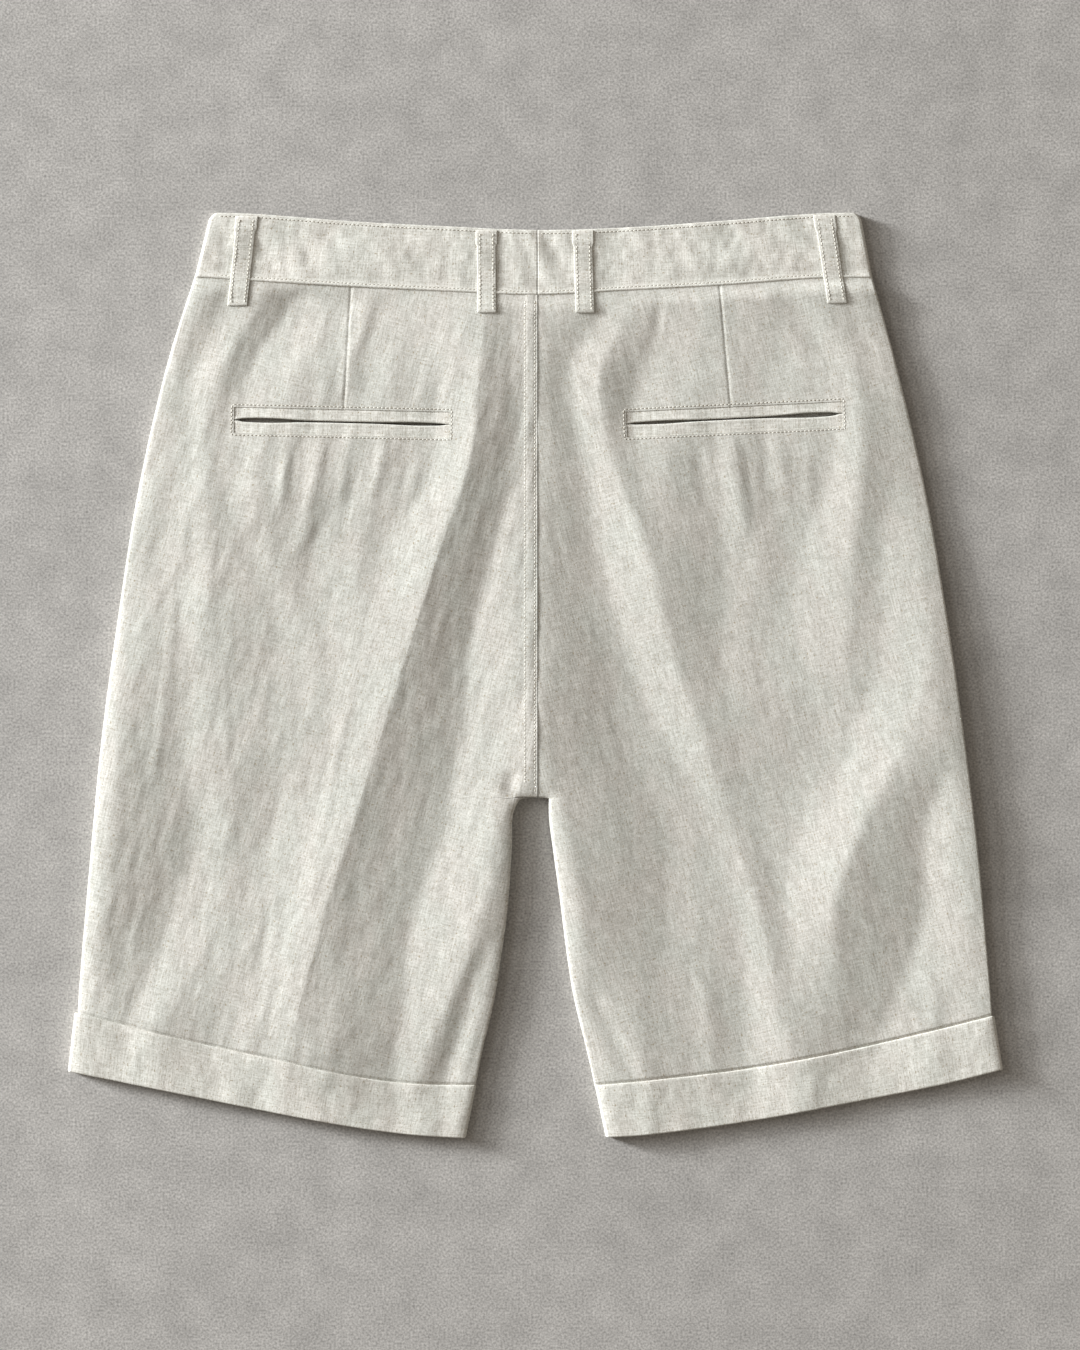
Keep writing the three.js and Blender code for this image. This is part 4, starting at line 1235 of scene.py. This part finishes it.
# Waves of the cuffs: x, y, rise, half length, half height
CUFF_WAVES = {
    "left": [
        (-196, -272, 0.5, 9, 14), (-180, -274, -0.4, 8, 14), (-82, -280, -0.5, 18, 12),
        (-128, -284, 0.3, 12, 8), (-60, -284, 0.4, 10, 14), (-262, -250, 0.3, 14, 12),
    ],
    "right": [
        (140, -274, -0.4, 12, 12), (178, -270, 0.6, 10, 12), (80, -282, 0.3, 14, 10),
        (232, -256, -0.3, 16, 12), (262, -248, 0.4, 12, 12),
    ],
}


def cuff_height(side, x, y):
    """The panel's height at the cuff's top edge plus a lift, calmed on the way to the hem."""
    top = cuff_top_y(side, x)
    down = np.clip((top - y) / CUFF_HEIGHT, 0, 1)
    panel = MIDDLE_BACK + (main_folds(side, x, top) + small_folds(side, x, top)) * CUFF_KEEP
    panel = np.maximum(panel, LOWEST_BACK)
    calm = MIDDLE_BACK - HEM_DROP + (panel - MIDDLE_BACK) * CUFF_CALM
    puckers = random_hills(x, y, 12.0, 17.0, 31) + 0.5 * random_hills(x, y, 5.0, 8.0, 32)
    height = panel + CUFF_LIFT + (calm - panel) * ease(down * CALM_SPEED)
    height = height + waves(CUFF_WAVES[side], x, y) + CUFF_PUCKER * puckers
    outer_top, outer_hem, inner_top, inner_hem = CUFF_ENDS[side]
    outer = outer_top + (outer_hem - outer_top) * down
    inner = inner_top + (inner_hem - inner_top) * down
    edge = np.minimum(np.abs(x - outer), np.abs(x - inner)) - SIDE_TURN
    shoulder = quarter_round(np.maximum(edge, 0), CUFF_SHOULDER_WIDTH)
    return height - CUFF_SHOULDER * (1 - shoulder)


def join_ends(piece):
    """Merges the last station with the first, which lie on each other."""
    shape = bmesh.new()
    shape.from_mesh(piece.data)
    bmesh.ops.remove_doubles(shape, verts=shape.verts, dist=1e-6)
    shape.to_mesh(piece.data)
    shape.free()


def cuff(side):
    """A closed ring of stations: over the leg, round its inner side, under it, and back."""
    sign = SIGN[side]
    share, depth = flat_ring(22, 8, 0.024)
    outer_top, outer_hem, inner_top, inner_hem = CUFF_ENDS[side]
    outer = outer_top + (outer_hem - outer_top) * share - sign * SIDE_TURN
    inner = inner_top + (inner_hem - inner_top) * share + sign * SIDE_TURN

    def y_at(x):
        """y of each point of the section, from the top edge to the hem."""
        return cuff_top_y(side, x) + (hem_y(side, x) - cuff_top_y(side, x)) * share

    def flat(parts, top_at, way):
        """Stations of the upper or the lower wall, at parts of the way from outside to inside."""
        for x in (outer + (inner - outer) * part for part in parts):
            stations.append(flat_wall(x, y_at(x), top_at(x), CUFF_THICKNESS, depth, way))

    def turn(x, way, angles):
        """Stations round one side of the leg."""
        y = y_at(x)
        top = cuff_height(side, x, y)
        for angle in angles:
            stations.append(turned_wall(x, y, way, top, CUFF_THICKNESS, angle, depth))

    stations = []
    flat(np.linspace(0, 1, 150), lambda x: cuff_height(side, x, y_at(x)), 1)
    turn(inner, -sign, TURN_ANGLES)
    flat(np.linspace(1, 0, 30), np.zeros_like, -1)
    turn(outer, sign, TURN_ANGLES[::-1])
    stations.append(stations[0])
    points = np.array(stations)
    along = walked(points[:, 10])
    uv = ring_uv(along, share, depth, CUFF_HEIGHT, CUFF_THICKNESS)
    if side == "left":
        points, uv = points[::-1], uv[::-1]
    piece = surface(f"turned_cuff_{side}", points, uv, TRIM_LINEN, True, False)
    join_ends(piece)
    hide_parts(f"cuff_{side}")
    print(piece.name, "is", round(float(along[-1])), "mm round")


for side in SIDES:
    cuff(side)

# %% [markdown]
# ## Belt loops
# Four loops span the band. Each is a narrow strip, sewn flat at its ends and slack between them, so
# it bridges the step from the band down to the panel. Its edges are stitched down, which leaves the
# middle slightly crowned.

# %% Belt loops
LOOP_THICKNESS = 0.65
LOOP_SLACK = 0.05
LOOP_CROWN = 0.15
LOOP_LENGTH = 56.0
# The end folded over the band is this much wider, down to this share of the length
LOOP_HEAD_WIDER = 1.8
LOOP_HEAD_SHARE = 0.16
LOOP_HEAD_FADE = 0.03
# Round ends: radius, and the share of the thickness that is left at the very end
LOOP_END_ROUND = 0.9
LOOP_END_SHARE = 0.25
# On the panel a loop lies this far above the cloth; it climbs the band's step over this distance
LOOP_CLEARANCE = 0.2
STEP_START = 6.0
STEP_LENGTH = 8.0
# name: x and y of the top, x and y of the bottom, width
LOOPS = {
    "side_left": (-187.5, 298.4, -193.8, 240.2, 12.8),
    "back_left": (-31.9, 289.2, -31.6, 235.4, 12.2),
    "back_right": (30.6, 289.2, 32.2, 235.4, 12.2),
    "side_right": (187.5, 299.2, 196.0, 241.5, 12.6),
}


def loop_height(side, x, y, along):
    """Cloth under the strip, band or panel, plus a small clearance and the slack."""
    on_band = ease((y - seam_y(x) + STEP_START) / STEP_LENGTH)
    on_panel = back_height(side, x, y) + LOOP_CLEARANCE
    under = on_band * band_height(x, y) + (1 - on_band) * on_panel
    return under + LOOP_SLACK * np.sin(np.pi * along) ** 2


def loop_middle(name, along):
    """x and y of the strip's middle at a share of its length."""
    x0, y0, x1, y1 = LOOPS[name][:4]
    return x0 + (x1 - x0) * along, y0 + (y1 - y0) * along


def loop_side(name):
    """The half of the shorts that a loop is on."""
    return "left" if LOOPS[name][0] < 0 else "right"


def belt_loop(name):
    """Stations down the strip; each is a flat ring across it, tilted as the cloth below it is."""
    share, depth = flat_ring(13, 6, 0.036)
    width = LOOPS[name][4]
    stations = []
    along = np.concatenate([[0, 0.006], np.linspace(0.02, 0.98, 44), [0.994, 1]])
    for t in along:
        middle_x, middle_y = loop_middle(name, t)
        wide = width + LOOP_HEAD_WIDER * (1 - ease((t - LOOP_HEAD_SHARE) / LOOP_HEAD_FADE))
        across = (share - 0.5) * wide
        reach = np.linspace(-0.5, 0.5, 7) * wide
        y = np.full_like(reach, middle_y)
        heights = loop_height(loop_side(name), middle_x + reach, y, t)
        tilt = np.polyfit(reach, heights, 1)[0]
        flat = tilt * across + (heights - tilt * reach).max()
        crown = LOOP_CROWN * (1 - (2 * share - 1) ** 2)
        end = quarter_round(min(t, 1 - t) * LOOP_LENGTH, LOOP_END_ROUND)
        thickness = LOOP_THICKNESS * (LOOP_END_SHARE + (1 - LOOP_END_SHARE) * end)
        z = flat + (thickness + crown) * (1 - depth)
        stations.append(np.stack([middle_x + across, np.full_like(across, middle_y), z], axis=-1))
    points = np.array(stations)
    uv = ring_uv(along * 57, share, depth, width, LOOP_THICKNESS)
    piece = surface(f"belt_loop_{name}", points, uv, TRIM_LINEN, True, True)
    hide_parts(f"loop_{name}")


for name in LOOPS:
    belt_loop(name)
print("loops:", ", ".join(LOOPS))

# %% [markdown]
# ## Welt pockets
# A welt pocket is a slash in the panel, filled by two folded strips whose folds meet in the middle.
# Each strip is tucked under the panel's cut edge by 3 mm and sewn there. The slit gapes a little
# near its outer end, where the seat pulls on it, and less near its inner end.

# %% Welts
WELT_THICKNESS = 1.2
WELT_SINK = 0.38
WELT_TUCK = 3.0
WELT_LENGTH = 140.0
WELT_LOWEST = 1.7
# Under the panel a welt lies this much lower, beyond these distances from the slit's middle
TUCKED_SINK = 0.42
TUCKED_START = 0.2
TUCKED_FADE = 1.2
END_START = 69.8
# Soft ridge beside the slit, where the strip is folded: rise, distance from the fold, half width
FOLD_RISE = 0.28
FOLD_PLACE = 0.8
FOLD_HALF_WIDTH = 0.7
# Half widths of the slit at its ends and between its openings, and the share that closes each end
SLIT_END = 0.08
SLIT_CLOSING = 0.05
SLIT_NARROW = 0.38
# The slit's two openings: place and reach as shares of its length from the outer end, half width
SLIT_OPENINGS = [
    dict(place=0.14, reach=0.14, wide=1.05),
    dict(place=0.84, reach=0.12, wide=0.6),
]


def beside_slit(side, along, above):
    """x and y at a share along the slit and a distance above it."""
    pocket = POCKETS[side]
    dx, dy = pocket["x1"] - pocket["x0"], pocket["y1"] - pocket["y0"]
    length = math.hypot(dx, dy)
    x = pocket["x0"] + dx * along - dy / length * above
    y = pocket["y0"] + dy * along + dx / length * above
    return x, y


def slit_half(side, along):
    """Half the slit's opening: two bells, and closed at both ends."""
    from_outside = along if side == "left" else 1 - along
    half = SLIT_NARROW
    for opening in SLIT_OPENINGS:
        far = (from_outside - opening["place"]) / opening["reach"]
        half = half + opening["wide"] * np.exp(-(far**2))
    return SLIT_END + half * ease(along / SLIT_CLOSING) * ease((1 - along) / SLIT_CLOSING)


def welt(side, way):
    """A folded strip from the slit's lip to under the panel; way is 1 above and -1 below."""
    pocket = POCKETS[side]
    far = pocket["above"] if way > 0 else pocket["below"]
    share, depth = flat_ring(9, 5, 0.07)
    stations = []
    places = np.linspace(-0.018, 1.018, 90)
    for along in places:
        near = slit_half(side, np.clip(along, 0, 1))
        above = way * (near + (far + WELT_TUCK - near) * share)
        x, y = beside_slit(side, along, above)
        away = np.abs(above)
        tucked = ease((away - far + TUCKED_START) / TUCKED_FADE)
        end_tucked = ease((abs(along - 0.5) * WELT_LENGTH - END_START) / TUCKED_FADE)
        ridge = FOLD_RISE * np.exp(-(((away - near - FOLD_PLACE) / FOLD_HALF_WIDTH) ** 2))
        sink = WELT_SINK + TUCKED_SINK * np.maximum(tucked, end_tucked) - ridge
        z = back_height(side, x, y) - sink - WELT_THICKNESS * depth
        stations.append(np.stack([x, y, np.maximum(z, WELT_LOWEST)], axis=-1))
    points = np.array(stations)
    uv = ring_uv(places * WELT_LENGTH, share, depth, far + WELT_TUCK, WELT_THICKNESS)
    if way > 0:
        points, uv = points[::-1], uv[::-1]
    word = "upper" if way > 0 else "lower"
    piece = surface(f"pocket_welt_{word}_{side}", points, uv, TRIM_LINEN, True, True)
    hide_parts(f"welt_{word}_{side}")


for side in SIDES:
    for way in (1, -1):
        welt(side, way)
print("welts 145 mm long")

# %% [markdown]
# ## Stitches
# A lockstitch shows as short dashes that dip into the cloth at both ends, with a needle hole between
# two of them, whose shade is painted as a small dark disc. There are hundreds, so each is a small
# rounded bar of a few dozen faces, and all of a seam's are one mesh. The whole seam is computed at
# once: every bar is the same ring of points, placed by its two end points and lifted in the middle.

# %% Stitch maker
STITCH_LENGTH = 1.7
STITCH_PITCH = 2.6
THREAD_RADIUS = 0.22
STITCH_SINK = 0.05
# Discs of painted needle-hole shade: their radius and lift above the cloth
HOLE_RADIUS = 0.42
HOLE_LIFT = 0.04
# A stitch's rings: places along it, radius as a share of the thread's, and lift in the middle
RING_PLACES = np.array([0.03, 0.2, 0.5, 0.8, 0.97])
RING_RADII = np.array([0.45, 0.95, 1.0, 0.95, 0.45])
STITCH_ARCH = 0.5


def bars(starts, ends):
    """Rounded bars between points (n, 3): rings of 6 points at 5 places, closed by a point each."""
    axis = ends - starts
    length = np.linalg.norm(axis, axis=1, keepdims=True)
    axis = axis / length
    across = np.cross(axis, [0, 0, 1.0])
    across /= np.linalg.norm(across, axis=1, keepdims=True)
    above = np.cross(across, axis)
    radius = THREAD_RADIUS * RING_RADII
    lift = THREAD_RADIUS * STITCH_ARCH * np.sin(np.pi * RING_PLACES) - STITCH_SINK
    angle = np.radians(np.arange(6) * 60)
    sideways = radius[:, None] * np.cos(angle)
    upwards = radius[:, None] * np.sin(angle) + lift[:, None]
    rings = (
        starts[:, None, None] + (ends - starts)[:, None, None] * RING_PLACES[:, None, None]
        + across[:, None, None] * sideways[..., None] + above[:, None, None] * upwards[..., None]
    ).reshape(len(starts), 30, 3)
    points = np.concatenate([rings, starts[:, None], ends[:, None]], axis=1).reshape(-1, 3)
    ring, spot = np.meshgrid(np.arange(4) * 6, np.arange(6), indexing="ij")
    ring, spot = ring.ravel(), spot.ravel()
    after = (spot + 1) % 6
    quads = np.stack([ring + spot, ring + after, ring + 6 + after, ring + 6 + spot], axis=1)
    k = np.arange(6)
    first = np.stack([np.full(6, 30), (k + 1) % 6, k], axis=1)
    last = np.stack([np.full(6, 31), 24 + k, 24 + (k + 1) % 6], axis=1)
    base = (np.arange(len(starts)) * 32)[:, None, None]
    triangles = np.concatenate([first, last])[None] + base
    return points, (quads[None] + base).reshape(-1, 4), triangles.reshape(-1, 3)


def row_of_stitches(path):
    """Start and end points of stitches at even distances along a path of points (n, 3)."""
    places = walked(path)
    count = int(places[-1] // STITCH_PITCH)
    begin = (np.arange(count) + 0.5) * places[-1] / count - STITCH_LENGTH / 2

    def at(distance):
        """Points of the path at distances along it."""
        return np.stack([np.interp(distance, places, path[:, k]) for k in range(3)], axis=1)

    return at(begin), at(begin + STITCH_LENGTH)


def hole_shade_discs(starts, ends):
    """Painted needle-hole shade: dark eight-sided discs halfway between each stitch's end and the next
    one's start.
    """
    middles = (ends[:-1] + starts[1:]) / 2
    near = np.linalg.norm(starts[1:] - ends[:-1], axis=1) < 2 * STITCH_PITCH
    middles = middles[near]
    angle = np.radians(np.arange(8) * 45 + 22.5)
    ring = np.stack([np.cos(angle), np.sin(angle), 0 * angle], axis=1) * HOLE_RADIUS
    points = (middles[:, None] + ring[None] + [0, 0, HOLE_LIFT]).reshape(-1, 3)
    return points, np.arange(len(points)).reshape(-1, 8)


def stitches(name, rows):
    """One mesh of all the bars of several rows, each a (starts, ends) pair, and the painted
    needle-hole shade.
    """
    starts = np.concatenate([row[0] for row in rows])
    ends = np.concatenate([row[1] for row in rows])
    points, quads, triangles = bars(starts, ends)
    shade_disc_points, discs = hole_shade_discs(starts, ends)
    faces = quads.tolist() + triangles.tolist() + (discs + len(points)).tolist()
    mesh = bpy.data.meshes.new(name)
    mesh.from_pydata((np.concatenate([points, shade_disc_points]) * MM).tolist(), [], faces)
    mesh.materials.append(THREAD)
    mesh.materials.append(NEEDLE_HOLE_SHADE)
    kinds = np.zeros(len(faces), int)
    kinds[len(faces) - len(discs):] = 1
    mesh.polygons.foreach_set("material_index", kinds)
    finish_piece(name, mesh)
    print(name, len(starts), "stitches")


# %% Stitches of the waistband
BAND_ROW_ENDS = (3.0, 206.0)
BAND_ROWS = (dict(above_seam=2.2), dict(below_top=2.4))


def band_row(side, above_seam=None, below_top=None):
    """A row on the band at a fixed distance from its seam or from its top edge."""
    x = SIGN[side] * np.linspace(*BAND_ROW_ENDS, 160)
    y = seam_y(x) + above_seam if above_seam is not None else waist_top_y(x) - below_top
    return row_of_stitches(np.stack([x, y, band_height(x, y)], axis=1))


stitches("stitches_waistband", [band_row(side, **row) for side in SIDES for row in BAND_ROWS])

# %% Stitches of the centre back
# Rows beside the seam: distance to its left, y of both ends
SEAM_ROWS = [dict(away=1.7, top=244, bottom=-76), dict(away=8.0, top=244, bottom=-70)]


def seam_row(away, top, bottom):
    """A row beside the centre back seam, on the left panel."""
    y = np.linspace(top, bottom, 200)
    x = np.full_like(y, BACK_SEAM_X - away)
    return row_of_stitches(np.stack([x, y, back_height("left", x, y)], axis=1))


stitches("stitches_centre_back", [seam_row(**row) for row in SEAM_ROWS])

# %% Stitches of the pockets
FRAME_OUTSIDE = 1.5


def frame_row(side):
    """A row right round the window of a pocket, on the panel just outside its edge."""
    pocket = POCKETS[side]
    high, low = pocket["above"] + FRAME_OUTSIDE, -pocket["below"] - FRAME_OUTSIDE
    end = FRAME_OUTSIDE / WELT_LENGTH
    corners = [(-end, high), (1 + end, high), (1 + end, low), (-end, low), (-end, high)]
    path = []
    for (a0, h0), (a1, h1) in zip(corners[:-1], corners[1:]):
        t = np.linspace(0, 1, 60)
        x, y = beside_slit(side, a0 + (a1 - a0) * t, h0 + (h1 - h0) * t)
        path.append(np.stack([x, y, back_height(side, x, y)], axis=1))
    return row_of_stitches(np.concatenate(path))


stitches("stitches_pockets", [frame_row(side) for side in SIDES])

# %% Stitches of the loops
LOOP_ROW_INSIDE = 1.9
LOOP_ROW_LIFT = 0.1
LOOP_PLACES = (-0.5, -0.25, 0, 0.25, 0.5)


def loop_rows(name):
    """Two rows down a loop near its edges, above the highest cloth under its width."""
    t = np.linspace(0.03, 0.97, 60)
    x, y = loop_middle(name, t)
    width = LOOPS[name][4]
    under = [loop_height(loop_side(name), x + place * width, y, t) for place in LOOP_PLACES]
    z = np.max(under, axis=0) + LOOP_THICKNESS + LOOP_ROW_LIFT
    away = width / 2 - LOOP_ROW_INSIDE
    return [row_of_stitches(np.stack([x + way * away, y, z], axis=1)) for way in (-1, 1)]


stitches("stitches_loops", [row for name in LOOPS for row in loop_rows(name)])
